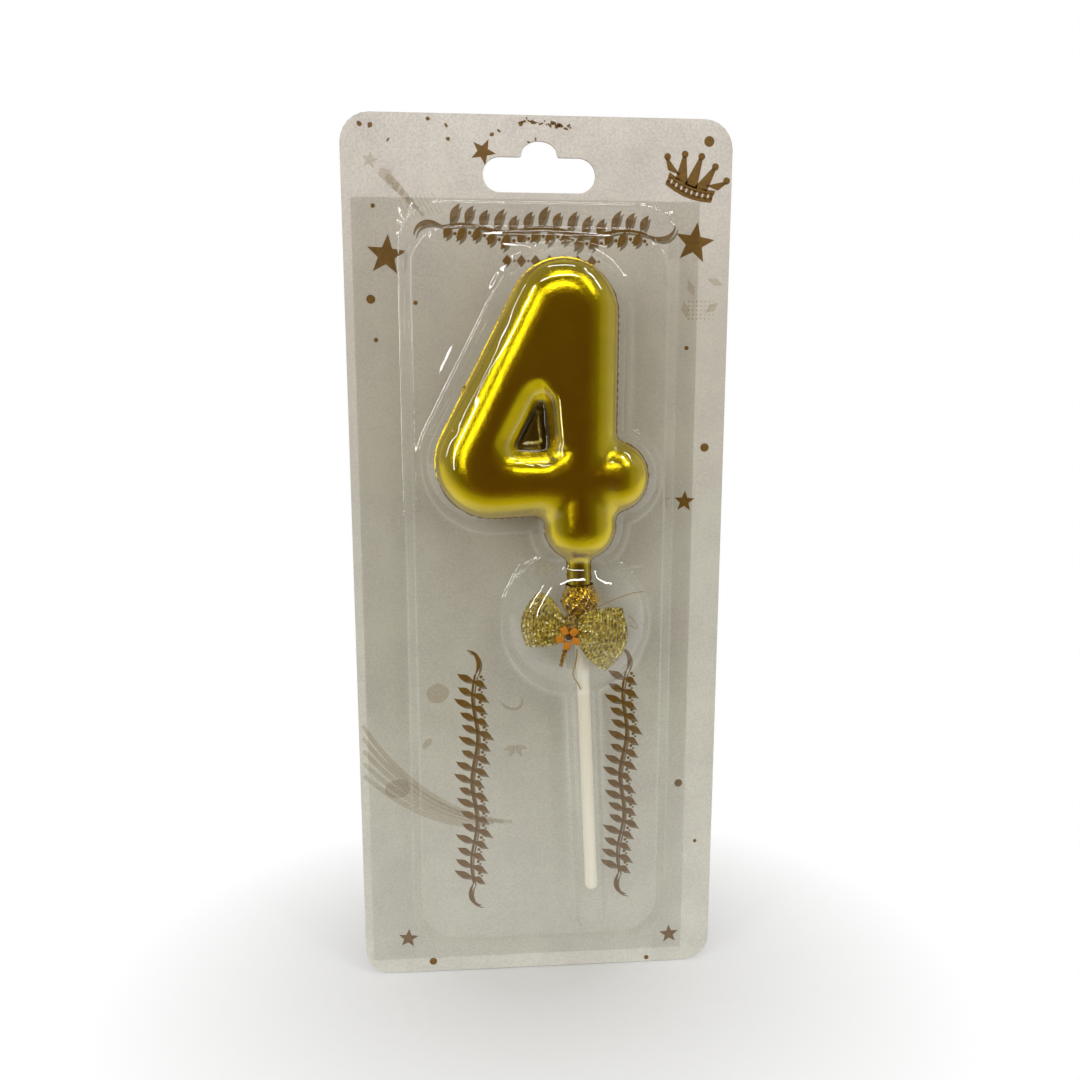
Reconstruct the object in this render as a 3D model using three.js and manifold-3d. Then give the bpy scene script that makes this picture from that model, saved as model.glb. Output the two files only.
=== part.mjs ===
// Carded number cake topper: a hollow gold figure 4 on a white stick with a
// ribbon bow, under a clear formed blister on a hanging card. Sizes are in
// millimetres. Everything is laid out in the front view, with x to the right,
// y up and z out of the card towards the viewer, from the middle of the hang
// slot at the back of the card. The last lines stand the pack up, so that it
// hangs with +Z up and its front faces -Y.

import * as THREE from 'three';
import { ConvexGeometry } from 'three/addons/geometries/ConvexGeometry.js';
import { mergeVertices } from 'three/addons/utils/BufferGeometryUtils.js';
import Module from 'manifold-3d';

// Backing card
const card_width = 87;
const card_height = 204.5;
const card_thickness = 0.6;
const card_corner_radius = 6.5;
const slot_below_card_top = 12.5;
const slot_width = 25;
const slot_height = 7.5;
const slot_notch_width = 7.8;
const slot_notch_rise = 3.4;
const slot_notch_fillet = 0.7;

// Clear blister, formed from one film
const film_thickness = 0.4;
const flange_width = 77.8;
const flange_height = 183;
const flange_centre_x = -2.6;
const flange_below_slot = 5.2;
const flange_corner_radius = 1.5;
const tray_width = 62.4;
const tray_height = 178;
const tray_centre_x = 0.3;
const tray_below_flange_top = 0.9;
const tray_depth = 6.2;
const tray_corner_radius = 9;
const tray_draft_left = 2;
const tray_draft_right = 3.2;
const tray_draft_top = 6;
const tray_draft_bottom = 5;
const pocket_clearance = 0.6;
const pocket_foot_depth = 4.4;
const bubble_margin = 3.4;
const bubble_roundover = 7;
const dip_depth = 2.4;
const dip_slope_width = 4;
const dome_x = -1.2;
const dome_radius = 16.8;
const dome_roundover = 8;
const saddle_width = 12;
const saddle_top_y = -4;
const saddle_corner_radius = 4.5;
const saddle_roundover = 3.5;
const channel_width = 7;
const channel_past_stick = 10.5;
const channel_corner_radius = 3.2;
const channel_roundover = 2.6;

// Topper in its pocket
const topper_x = 8.15;
const topper_y = -77.3;
const topper_lean = THREE.MathUtils.degToRad(2.6);
const topper_back_gap = 0.4;
const seat_gap = 0.3;

// Hollow figure 4, moulded in two halves, drawn from the axis of its neck
const figure_half_depth = 6.4;
const figure_wall = 1.2;
const figure_roundover = 6.9;
const lobe_left_x = -7.5;
const lobe_right_x = 8.8;
const lobe_bottom_y = -8.1;
const bar_bottom_y = 2.5;
const bar_top_y = 18.4;
const nub_right_x = 16.6;
const end_radius = 7.6;
const upright_lean = THREE.MathUtils.degToRad(2.8);
const diagonal_angle = THREE.MathUtils.degToRad(60.2);
const diagonal_foot_x = -40.4;
const heel_radius = 12.6;
const crown_radius = 12.1;
const nub_root = 4;
const counter_width = 4.4;
const counter_height = 8.5;
const counter_left_x = -11.6;
const counter_above_bar = 16.5;
const counter_corner_radius = 0.5;
const counter_web = 0.5;
const flash_width = 0.35;
const flash_thickness = 0.3;
const neck_radius = 2.65;
const neck_root_y = -4;
const neck_end_y = -16.8;

// Stick and the gathered film collar at its top
const stick_radius = 1.5;
const stick_top_y = -7.6;
const stick_end_y = -89.5;
const stick_end_rounding = 0.5;
const collar_top_y = -13.9;
const collar_end_y = -22.7;
const collar_bulge_radius = 4.4;
const collar_mouth_wall = 0.35;
const collar_fold_depth = 0.28;
const collar_fold_count = 9;
// The collar's outside from its top to its foot: share of the length, share
// of the bulge above the mouth's radius, and how deep the folds are there
const collar_profile = [
  [0, 0, 0],
  [0.14, 0.12, 1],
  [0.3, 0.78, -0.8],
  [0.46, 1, 1],
  [0.6, 0.56, -0.8],
  [0.76, -0.2, 1],
  [1, -0.61, 0],
];

// Ribbon bow, its tie, and the small flower on the knot
const bow_back = 3;
const bow_loop_thickness = 2.4;
const bow_loop_roundover = 1.1;
const knot_x = -2.8;
const knot_y = -22.9;
const knot_half_width = 1.8;
const knot_half_height = 3;
const knot_thickness = 2.6;
const tie_height = 1.4;
const tie_y = -24.4;
const flower_x = -3.7;
const flower_y = -24.8;
const petal_count = 5;
const petal_ring_radius = 1.85;
const petal_first_angle = THREE.MathUtils.degToRad(43);
const petal_length = 1.9;
const petal_width = 1.6;
const petal_thickness = 0.8;
const petal_corner_radius = 0.45;
const flower_centre_radius = 0.5;
const tail_length = 6;
const tail_width = 1.4;
const tail_end_width = 0.9;
const tail_lean = THREE.MathUtils.degToRad(18);
const tie_end_width = 2.1;
const tie_end_length = 6;
const tie_end_thickness = 0.3;
const tie_end_corner_radius = 0.6;
const tie_end_below_tie = 3.7;
const thread_diameter = 0.35;

// Levels in front of the card's back
const card_front = card_thickness;
const parting_level = card_front + topper_back_gap + figure_half_depth;
const pocket_top = parting_level + figure_half_depth + pocket_clearance + film_thickness;
const pocket_foot = card_front + pocket_foot_depth;
const side_land = 0.3;
const facet_height = 0.06;
const circle_facets = 32;
const bar_facets = 24;
const cut_past = 0.01;

const wasm = await Module();
wasm.setup();

// A closed mesh as a solid that can be joined and cut
function solidOf(geometry) {
  const bare = geometry.clone();
  bare.deleteAttribute('normal');
  bare.deleteAttribute('uv');
  const merged = mergeVertices(bare, 1e-4);
  return new wasm.Manifold(new wasm.Mesh({
    numProp: 3,
    vertProperties: new Float32Array(merged.attributes.position.array),
    triVerts: new Uint32Array(merged.index.array),
  }));
}

function geometryOf(solid) {
  const mesh = solid.getMesh();
  const geometry = new THREE.BufferGeometry();
  geometry.setAttribute('position', new THREE.BufferAttribute(mesh.vertProperties, 3));
  geometry.setIndex(new THREE.BufferAttribute(mesh.triVerts, 1));
  geometry.computeVertexNormals();
  return geometry;
}

// A box given by its lowest and highest corners
function blockBetween(low, high) {
  const size = new THREE.Vector3().subVectors(high, low);
  const geometry = new THREE.BoxGeometry(size.x, size.y, size.z);
  const middle = new THREE.Vector3().addVectors(low, high).multiplyScalar(0.5);
  return geometry.translate(middle.x, middle.y, middle.z);
}

// An outline from sharp corners that run anticlockwise, each [x, y, radius].
// The sides move out by grow, and each corner is rounded by an arc: outer
// corners swell by the same amount, inner ones tighten to least at most.
function roundedOutline(corners, grow = 0, least = 0.2) {
  const points = [];
  corners.forEach(([x, y, radius], i) => {
    const before = corners[(i + corners.length - 1) % corners.length];
    const after = corners[(i + 1) % corners.length];
    const arriving = new THREE.Vector2(x - before[0], y - before[1]).normalize();
    const leaving = new THREE.Vector2(after[0] - x, after[1] - y).normalize();
    const out_a = new THREE.Vector2(arriving.y, -arriving.x);
    const out_b = new THREE.Vector2(leaving.y, -leaving.x);
    const shift = out_a.clone().add(out_b).multiplyScalar(grow / (1 + out_a.dot(out_b)));
    const corner = new THREE.Vector2(x, y).add(shift);
    const turn = Math.atan2(arriving.cross(leaving), arriving.dot(leaving));
    const side = Math.sign(turn);
    const round = Math.max(radius + side * grow, least);
    const start = corner.clone().addScaledVector(arriving, -round * Math.tan(Math.abs(turn) / 2));
    const centre = start.clone().addScaledVector(out_a, -side * round);
    const step = 2 * Math.acos(1 - facet_height / Math.max(radius, 2 * facet_height));
    const steps = Math.max(1, Math.round(Math.abs(turn) / step));
    for (let k = 0; k <= steps; k += 1) {
      const arm = start.clone().sub(centre);
      points.push(arm.rotateAround(new THREE.Vector2(), (turn * k) / steps).add(centre));
    }
  });
  return points;
}

// Outlines are passed on as functions that give the points for a growth
function outlineOf(corners) {
  return (grow = 0) => roundedOutline(corners, grow);
}

function roundOutline(x, y, radius) {
  return (grow = 0) => Array.from({ length: circle_facets }, (_, k) => {
    const angle = (2 * Math.PI * k) / circle_facets;
    const arm = radius + grow;
    return new THREE.Vector2(x + arm * Math.cos(angle), y + arm * Math.sin(angle));
  });
}

function rectangleCorners(left, right, bottom, top, radius) {
  return [[left, bottom, radius], [right, bottom, radius], [right, top, radius], [left, top, radius]];
}

// The figure's three strokes: the head, which is the diagonal, the bar and the
// upright in one rounded triangle, then the nub that runs through to the
// right, and the lobe below the bar
function figureStrokes() {
  const upright_slope = Math.tan(upright_lean);
  const diagonal_slope = 1 / Math.tan(diagonal_angle);
  const crown_rise = (lobe_right_x - diagonal_foot_x) / (diagonal_slope - upright_slope);
  const head = [
    [diagonal_foot_x, bar_bottom_y, heel_radius],
    [lobe_right_x, bar_bottom_y, end_radius],
    [diagonal_foot_x + crown_rise * diagonal_slope, bar_bottom_y + crown_rise, crown_radius],
  ];
  const nub = rectangleCorners(
    lobe_left_x - nub_root, nub_right_x, bar_bottom_y, bar_top_y, end_radius);
  const lobe = rectangleCorners(
    lobe_left_x, lobe_right_x, lobe_bottom_y, bar_top_y, end_radius);
  return [head, nub, lobe].map((corners) => outlineOf(corners));
}

// The triangular recess between the diagonal, the bar and the upright
function counterRecess() {
  const foot_y = bar_bottom_y + counter_above_bar;
  const right_x = counter_left_x + counter_width;
  return outlineOf([
    [counter_left_x, foot_y, counter_corner_radius],
    [right_x, foot_y, counter_corner_radius],
    [right_x - counter_corner_radius, foot_y + counter_height, counter_corner_radius],
  ]);
}

// A closed skin through rings of equal point count. The last ring joins the
// first, or both are closed by a flat cap.
function ringedGeometry(rings, joined = false) {
  const count = rings[0].length;
  const positions = rings.flat().flatMap((p) => [p.x, p.y, p.z]);
  const index = [];
  const last = joined ? rings.length : rings.length - 1;
  for (let i = 0; i < last; i += 1) {
    const next = (i + 1) % rings.length;
    for (let k = 0; k < count; k += 1) {
      const turn = (k + 1) % count;
      const a = i * count + k;
      const b = i * count + turn;
      const c = next * count + turn;
      const d = next * count + k;
      index.push(a, b, c, a, c, d);
    }
  }
  if (!joined) {
    const end = (rings.length - 1) * count;
    for (let k = 1; k < count - 1; k += 1) {
      index.push(0, k + 1, k);
      index.push(end, end + k, end + k + 1);
    }
  }
  const geometry = new THREE.BufferGeometry();
  geometry.setAttribute('position', new THREE.Float32BufferAttribute(positions, 3));
  geometry.setIndex(index);
  geometry.computeVertexNormals();
  return geometry;
}

// A body as deep on both sides of z = 0, between two narrow lands. Its sides
// draw in along a quarter of an ellipse towards both faces, by draw_in at the
// faces, or flare out where draw_in is below 0.
function cushion(outline, grow, half_depth, draw_in, segments) {
  const land = side_land / 2;
  const rings = [];
  for (let i = -segments; i <= segments; i += 1) {
    const angle = (i / segments) * (Math.PI / 2);
    const points = outline(grow - draw_in * (1 - Math.cos(angle)));
    const rise = Math.sin(angle) * (half_depth - land);
    const sides = i === 0 ? [-1, 1] : [Math.sign(i)];
    sides.forEach((side) => {
      rings.push(points.map((p) => new THREE.Vector3(p.x, p.y, rise + side * land)));
    });
  }
  return ringedGeometry(rings);
}

function plate(outline, thickness, level) {
  const shape = new THREE.Shape(outline);
  const geometry = new THREE.ExtrudeGeometry(shape, { depth: thickness, bevelEnabled: false });
  return geometry.translate(0, 0, level);
}

// A card with rounded corners and a hang slot with a raised notch
function makeCard() {
  const top = slot_below_card_top;
  const half_width = card_width / 2;
  const shape = new THREE.Shape(roundedOutline(
    rectangleCorners(-half_width, half_width, top - card_height, top, card_corner_radius)));
  const end = slot_height / 2;
  const end_x = slot_width / 2 - end;
  const notch_x = slot_notch_width / 2;
  const fillet = slot_notch_fillet;
  const slot = new THREE.Path();
  slot.absarc(-end_x, 0, end, Math.PI / 2, Math.PI * 1.5, false);
  slot.absarc(end_x, 0, end, -Math.PI / 2, Math.PI / 2, false);
  slot.absarc(notch_x + fillet, end + fillet, fillet, -Math.PI / 2, -Math.PI, true);
  slot.absellipse(0, end + fillet, notch_x, slot_notch_rise - fillet, 0, Math.PI, false, 0);
  slot.absarc(-notch_x - fillet, end + fillet, fillet, 0, -Math.PI / 2, true);
  slot.closePath();
  shape.holes.push(slot);
  const sheet = { depth: card_thickness, bevelEnabled: false, curveSegments: 10 };
  return geometryOf(solidOf(new THREE.ExtrudeGeometry(shape, sheet)));
}

// Where the topper's own frame lies in the pack
const topper_place = new THREE.Matrix4().makeRotationZ(topper_lean);
topper_place.setPosition(topper_x, topper_y, 0);

// The shallow tray with sloping walls, drawn in by inset for its inner face
function trayForm(inset) {
  const flange_top = -flange_below_slot;
  const top = flange_top - tray_below_flange_top - inset;
  const bottom = top - tray_height + 2 * inset;
  const left = tray_centre_x - tray_width / 2 + inset;
  const right = tray_centre_x + tray_width / 2 - inset;
  const radius = tray_corner_radius - inset;
  const foot = roundedOutline(rectangleCorners(left, right, bottom, top, radius));
  const roof = roundedOutline(rectangleCorners(
    left + tray_draft_left,
    right - tray_draft_right,
    bottom + tray_draft_bottom,
    top - tray_draft_top,
    radius));
  const foot_level = card_front - (inset > 0 ? film_thickness : 0);
  const roof_level = card_front + tray_depth - inset;
  return new ConvexGeometry([
    ...foot.map((p) => new THREE.Vector3(p.x, p.y, foot_level)),
    ...roof.map((p) => new THREE.Vector3(p.x, p.y, roof_level)),
  ]);
}

// A pocket raised above the tray over an outline, with rounded shoulders
function pocketForm(outline, grow, top, roundover, inset) {
  const height = top - inset - pocket_foot;
  const form = cushion(outline, grow - inset, height, roundover - inset, 4);
  return solidOf(form.translate(0, 0, pocket_foot).applyMatrix4(topper_place));
}

// The pockets over the figure, the neck, the bow and the stick, each one film
// smaller on the inside than on the outside
function blisterForm(inset) {
  const bow_pocket = roundOutline(dome_x, knot_y, dome_radius);
  const saddle = outlineOf(rectangleCorners(
    -saddle_width / 2, saddle_width / 2, neck_end_y, saddle_top_y, saddle_corner_radius));
  const saddle_top = parting_level + collar_bulge_radius;
  const channel = outlineOf(rectangleCorners(
    -channel_width / 2 - seat_gap,
    channel_width / 2 - seat_gap,
    stick_end_y - channel_past_stick,
    knot_y,
    channel_corner_radius));
  const channel_top = parting_level + stick_radius + pocket_clearance + film_thickness;
  return [
    ...figureStrokes().map(
      (stroke) => pocketForm(stroke, bubble_margin, pocket_top, bubble_roundover, inset)),
    pocketForm(bow_pocket, 0, pocket_top, dome_roundover, inset),
    pocketForm(saddle, 0, saddle_top, saddle_roundover, inset),
    pocketForm(channel, 0, channel_top, channel_roundover, inset),
  ].reduce((joined, form) => joined.add(form), solidOf(trayForm(inset)));
}

// The film sinks a little into the figure's counter
function counterDip(inset) {
  const slope = dip_slope_width / dip_depth;
  const ringAt = (below_top) => {
    const points = counterRecess()(inset + slope * (dip_depth - below_top));
    const level = pocket_top - below_top - inset;
    return points.map((p) => new THREE.Vector3(p.x, p.y, level));
  };
  const dip = ringedGeometry([ringAt(dip_depth), ringAt(-film_thickness - inset)]);
  return solidOf(dip.applyMatrix4(topper_place));
}

function makeBlister() {
  const flange_top = -flange_below_slot;
  const flange = plate(roundedOutline(rectangleCorners(
    flange_centre_x - flange_width / 2,
    flange_centre_x + flange_width / 2,
    flange_top - flange_height,
    flange_top,
    flange_corner_radius)), film_thickness, card_front);
  const behind = blockBetween(
    new THREE.Vector3(-card_width, -card_height, card_front - 2 * pocket_top),
    new THREE.Vector3(card_width, card_height, card_front));
  const outside = blisterForm(0).subtract(counterDip(0)).subtract(solidOf(behind));
  const inside = blisterForm(film_thickness).subtract(counterDip(film_thickness));
  return geometryOf(outside.add(solidOf(flange)).subtract(inside));
}

// A round bar along y from one height to another
function roundBar(radius, from_y, to_y) {
  const geometry = new THREE.CylinderGeometry(radius, radius, to_y - from_y, bar_facets);
  return geometry.translate(0, (from_y + to_y) / 2, 0);
}

// The figure's strokes joined into one cushioned body, whose counter flares
// from the parting plane to both faces
function figureForm(grow, half_depth, roundover, segments) {
  const flare = cushion(counterRecess(), -grow, half_depth + cut_past, -roundover, segments);
  return figureStrokes()
    .map((stroke) => solidOf(cushion(stroke, grow, half_depth, roundover, segments)))
    .reduce((joined, stroke) => joined.add(stroke))
    .subtract(solidOf(flare));
}

// The whole hollow figure with its flash, neck and closed counter
function figureShell() {
  const skin = figureForm(0, figure_half_depth, figure_roundover, 5);
  const cavity = figureForm(
    -figure_wall, figure_half_depth - figure_wall, figure_roundover - figure_wall / 2, 4);
  const recess = plate(counterRecess()(), 2 * flash_thickness, 0);
  const flash = figureStrokes()
    .map((stroke) => solidOf(plate(stroke(flash_width), flash_thickness, 0)))
    .reduce((joined, stroke) => joined.add(stroke))
    .subtract(solidOf(recess));
  const neck = roundBar(neck_radius, neck_end_y, neck_root_y);
  const neck_flash = blockBetween(
    new THREE.Vector3(-neck_radius - flash_width, collar_top_y + seat_gap, 0),
    new THREE.Vector3(neck_radius + flash_width, neck_root_y, flash_thickness));
  const bore_end = lobe_bottom_y + 2 * figure_wall;
  const bore = roundBar(stick_radius + seat_gap, neck_end_y - figure_wall, bore_end);
  const web = plate(counterRecess()(figure_wall / 2), 2 * counter_web, -counter_web);
  return skin
    .add(flash)
    .add(solidOf(neck))
    .add(solidOf(neck_flash))
    .subtract(cavity)
    .subtract(solidOf(bore))
    .add(solidOf(web));
}

// The half of the figure on one side of the parting plane
function figureHalf(shell, side) {
  const reach = figure_half_depth + 1;
  const half_space = blockBetween(
    new THREE.Vector3(-card_width, -card_height, side > 0 ? 0 : -reach),
    new THREE.Vector3(card_width, card_height, side > 0 ? reach : 0));
  return geometryOf(shell.intersect(solidOf(half_space)));
}

// A white stick with a softened end
function makeStick() {
  const rounding = stick_end_rounding;
  const profile = [
    new THREE.Vector2(0, stick_end_y),
    new THREE.Vector2(stick_radius - rounding, stick_end_y),
    new THREE.Vector2(stick_radius - rounding * 0.3, stick_end_y + rounding * 0.3),
    new THREE.Vector2(stick_radius, stick_end_y + rounding),
    new THREE.Vector2(stick_radius, stick_top_y),
    new THREE.Vector2(0, stick_top_y),
  ];
  return geometryOf(solidOf(new THREE.LatheGeometry(profile, bar_facets)));
}

// Film gathered round the neck and the stick: a band whose outside is folded
// into ridges, with a stepped round bore
function makeCollar() {
  const neck_bore = neck_radius + seat_gap;
  const stick_bore = stick_radius + seat_gap;
  const length = collar_top_y - collar_end_y;
  const mouth = neck_bore + collar_mouth_wall;
  const bulge = collar_bulge_radius - mouth;
  const segments = collar_fold_count * 4;
  const rowAt = (y, radius, fold) => Array.from({ length: segments }, (_, k) => {
    const angle = (2 * Math.PI * k) / segments;
    const ridge = Math.cos(angle * collar_fold_count) * fold;
    return new THREE.Vector3(
      Math.cos(angle) * (radius + ridge), y, -Math.sin(angle) * (radius + ridge));
  });
  const step_y = neck_end_y - seat_gap;
  return ringedGeometry([
    ...collar_profile.map(([share, swell, fold]) => rowAt(
      collar_top_y - share * length, mouth + swell * bulge, fold * collar_fold_depth)).reverse(),
    rowAt(collar_top_y, neck_bore, 0),
    rowAt(step_y, neck_bore, 0),
    rowAt(step_y, stick_bore, 0),
    rowAt(collar_end_y, stick_bore, 0),
  ], true);
}

// One fan of the bow, a doubled ribbon that opens from the knot
function makeBowLoop(corners) {
  const half = bow_loop_thickness / 2;
  const form = cushion(outlineOf(corners), 0, half, bow_loop_roundover, 2);
  return form.translate(0, 0, bow_back + half);
}

const left_loop_corners = [
  [-13.4, -27.1, 1.4],
  [-6.9, -26.9, 1.4],
  [-4.95, -24.2, 1.4],
  [-4.95, -20.4, 1.4],
  [-6.6, -16.2, 1.4],
  [-10, -13.9, 1.4],
  [-14.1, -20.6, 2.5],
];
const right_loop_corners = [
  [-0.6, -27.7, 1.4],
  [1.8, -31.4, 1.4],
  [4.8, -34, 1.4],
  [8.4, -30.6, 2.5],
  [10.6, -24, 2.5],
  [9.8, -19.1, 1.4],
  [6.8, -18.7, 1.4],
  [3.4, -19.4, 1.4],
  [-0.6, -21.4, 1.2],
];

function makeKnot() {
  const half = knot_thickness / 2;
  const outline = outlineOf(rectangleCorners(
    knot_x - knot_half_width,
    knot_x + knot_half_width,
    knot_y - knot_half_height,
    knot_y + knot_half_height,
    knot_half_width * 0.8));
  const form = cushion(outline, 0, half, knot_half_width * 0.6, 3);
  return form.translate(0, 0, bow_back + half);
}

// The tie goes round the stick behind the knot
function makeTie() {
  const outer = bow_back - seat_gap;
  const inner = stick_radius + seat_gap;
  const ring = solidOf(roundBar(outer, tie_y - tie_height / 2, tie_y + tie_height / 2));
  const bore = solidOf(roundBar(inner, tie_y - tie_height, tie_y + tie_height));
  return geometryOf(ring.subtract(bore));
}

// A small rounded tile, laid along the ray from the flower's middle
function makePetal() {
  const half_length = petal_length / 2;
  const half_width = petal_width / 2;
  const outline = outlineOf(rectangleCorners(
    -half_length, half_length, -half_width, half_width, petal_corner_radius));
  return cushion(outline, 0, petal_thickness / 2, petal_corner_radius / 2, 1);
}

function makeFlowerCentre() {
  const radius = flower_centre_radius;
  const half = petal_thickness / 2;
  const profile = [
    new THREE.Vector2(0, -half),
    new THREE.Vector2(radius, -half),
    new THREE.Vector2(radius, 0),
    new THREE.Vector2(radius * 0.6, half),
    new THREE.Vector2(0, half),
  ];
  return geometryOf(solidOf(new THREE.LatheGeometry(profile, 12).rotateX(Math.PI / 2)));
}

// Two strands twisted together, which narrow towards the cut end
function makeTwistedTail() {
  const rings = [];
  const ring_count = 13;
  const sides = 10;
  for (let i = 0; i < ring_count; i += 1) {
    const share = i / (ring_count - 1);
    const width = THREE.MathUtils.lerp(tail_width, tail_end_width, share) / 2;
    const twist = share * 2 * Math.PI;
    rings.push(Array.from({ length: sides }, (_, k) => {
      const angle = (2 * Math.PI * k) / sides;
      const radius = width * (0.78 + 0.22 * Math.cos(2 * (angle - twist)));
      return new THREE.Vector3(
        Math.cos(angle) * radius, -share * tail_length, Math.sin(angle) * radius);
    }));
  }
  return ringedGeometry(rings);
}

function makeTieEnd() {
  const outline = roundedOutline(
    rectangleCorners(
      -tie_end_width / 2, tie_end_width / 2, -tie_end_length, 0, tie_end_corner_radius));
  return geometryOf(solidOf(plate(outline, tie_end_thickness, 0)));
}

// Loose ribbon threads, each a fine tube through points chosen by eye, in the
// topper's frame with z from the parting plane
const thread_routes = [
  [[-1.6, -28.1, 4.2], [-2.1, -31, 3.8], [-2.6, -34, 3], [-2.1, -36.2, 2.2], [-0.9, -38.6, 1.65]],
  [[3.6, -18.6, 4], [6, -17.7, 3.6], [9, -17.1, 2.2], [12.6, -17, -0.9], [15.6, -17.2, -2.4]],
  [[10.9, -21.4, 4], [12.3, -23.2, 3.7], [12.7, -24.4, 3.4], [12.1, -24.5, 3.2], [11.1, -23.6, 3.2]],
];

function makeThread(route) {
  const path = new THREE.CatmullRomCurve3(route.map((p) => new THREE.Vector3(...p)));
  const section = new THREE.Shape().absarc(0, 0, thread_diameter / 2, 0, 2 * Math.PI, false);
  const tube = { steps: 14, curveSegments: 4, bevelEnabled: false, extrudePath: path };
  return geometryOf(solidOf(new THREE.ExtrudeGeometry(section, tube)));
}

function finish(colour, roughness, metalness, opacity = 1) {
  return new THREE.MeshStandardMaterial({
    color: colour, roughness, metalness, opacity, transparent: opacity < 1,
  });
}

const white_card = finish(0xcdc8c6, 0.8, 0);
const clear_film = finish(0xe8ecea, 0.08, 0, 0.25);
const gold_plating = finish(0xd2a81c, 0.18, 1);
const amber_film = finish(0xb07a12, 0.2, 0.6);
const white_plastic = finish(0xe1decd, 0.5, 0);
const gold_ribbon = finish(0xb59a3c, 0.45, 0.5);
const tie_wire = finish(0x7d6420, 0.5, 0.3);
const orange_tile = finish(0xc98216, 0.4, 0);
const dark_seed = finish(0x4b3c22, 0.6, 0);
const clear_tape = finish(0xc9cac2, 0.2, 0, 0.4);

function part(name, geometry, material) {
  const mesh = new THREE.Mesh(geometry, material);
  mesh.name = name;
  return mesh;
}

const pack = new THREE.Group();
pack.add(part('backing_card', makeCard(), white_card));
pack.add(part('blister', makeBlister(), clear_film));

const topper = new THREE.Group();
topper.position.set(topper_x, topper_y, parting_level);
topper.rotation.z = topper_lean;
pack.add(topper);

const shell = figureShell();
topper.add(part('number_front_shell', figureHalf(shell, 1), gold_plating));
topper.add(part('number_back_shell', figureHalf(shell, -1), gold_plating));
topper.add(part('collar', makeCollar(), amber_film));
topper.add(part('stick', makeStick(), white_plastic));

topper.add(part('bow_loop_left', makeBowLoop(left_loop_corners), gold_ribbon));
topper.add(part('bow_loop_right', makeBowLoop(right_loop_corners), gold_ribbon));
topper.add(part('bow_knot', makeKnot(), gold_ribbon));
topper.add(part('bow_tie', makeTie(), tie_wire));

// The flower lies on the front of the knot
const flower = new THREE.Group();
const flower_level = bow_back + knot_thickness + seat_gap + petal_thickness / 2;
flower.position.set(flower_x, flower_y, flower_level);
topper.add(flower);
for (let i = 0; i < petal_count; i += 1) {
  const angle = petal_first_angle + (2 * Math.PI * i) / petal_count;
  const petal = part(`flower_petal_${i + 1}`, makePetal(), orange_tile);
  petal.position.set(
    petal_ring_radius * Math.cos(angle), petal_ring_radius * Math.sin(angle), 0);
  petal.rotation.z = angle;
  flower.add(petal);
}
flower.add(part('flower_centre', makeFlowerCentre(), dark_seed));

const tail = part('twisted_tail', makeTwistedTail(), tie_wire);
tail.position.set(
  knot_x - knot_half_width / 2,
  knot_y - knot_half_height - seat_gap,
  bow_back + knot_thickness / 2);
tail.rotation.z = -tail_lean;
topper.add(tail);

const tie_end = part('clear_tie_end', makeTieEnd(), clear_tape);
tie_end.position.set(
  -stick_radius - seat_gap - tie_end_width / 2,
  tie_y - tie_end_below_tie,
  0);
topper.add(tie_end);

thread_routes.forEach((route, i) => {
  topper.add(part(`loose_thread_${i + 1}`, makeThread(route), gold_ribbon));
});

pack.rotation.x = Math.PI / 2;

export default pack;
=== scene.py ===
from math import atan2, cos, degrees, exp, hypot, pi, radians, sin, sqrt, tan

import bmesh
import bpy
import numpy as np
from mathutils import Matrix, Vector


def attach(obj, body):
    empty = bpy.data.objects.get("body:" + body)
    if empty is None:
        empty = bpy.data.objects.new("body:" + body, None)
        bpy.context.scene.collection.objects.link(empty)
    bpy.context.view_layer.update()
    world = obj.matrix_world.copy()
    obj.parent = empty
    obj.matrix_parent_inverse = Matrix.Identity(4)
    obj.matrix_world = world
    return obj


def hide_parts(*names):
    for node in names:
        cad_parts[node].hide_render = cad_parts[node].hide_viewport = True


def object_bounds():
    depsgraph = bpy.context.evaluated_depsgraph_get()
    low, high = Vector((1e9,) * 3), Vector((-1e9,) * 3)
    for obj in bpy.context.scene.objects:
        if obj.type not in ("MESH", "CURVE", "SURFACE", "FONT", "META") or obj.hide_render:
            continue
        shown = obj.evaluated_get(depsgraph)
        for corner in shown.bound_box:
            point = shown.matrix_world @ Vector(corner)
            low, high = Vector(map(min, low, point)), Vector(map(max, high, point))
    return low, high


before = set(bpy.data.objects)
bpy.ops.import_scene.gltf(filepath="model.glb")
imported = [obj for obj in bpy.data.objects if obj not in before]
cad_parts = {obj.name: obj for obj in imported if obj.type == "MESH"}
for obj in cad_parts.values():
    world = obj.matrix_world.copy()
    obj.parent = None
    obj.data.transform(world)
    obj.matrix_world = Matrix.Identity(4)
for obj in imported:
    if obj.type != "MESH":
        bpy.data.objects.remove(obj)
solid_low, solid_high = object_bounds()


# BACKING CARD
# White board, coated on its faces and die-cut with rounded corners and a hang
# slot. It keeps its solid; the coat is nearly matt and a little mottled, its tone by
# height is painted light and shade, lighter at the top and greener towards the
# foot, and the cut edge shows the duller core.

def linear(colour):
    """An sRGB hex colour as linear red, green, blue and alpha."""
    parts = [int(colour[i:i + 2], 16) / 255 for i in (1, 3, 5)]
    return [c / 12.92 if c <= 0.04045 else ((c + 0.055) / 1.055) ** 2.4 for c in parts] + [1]


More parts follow.
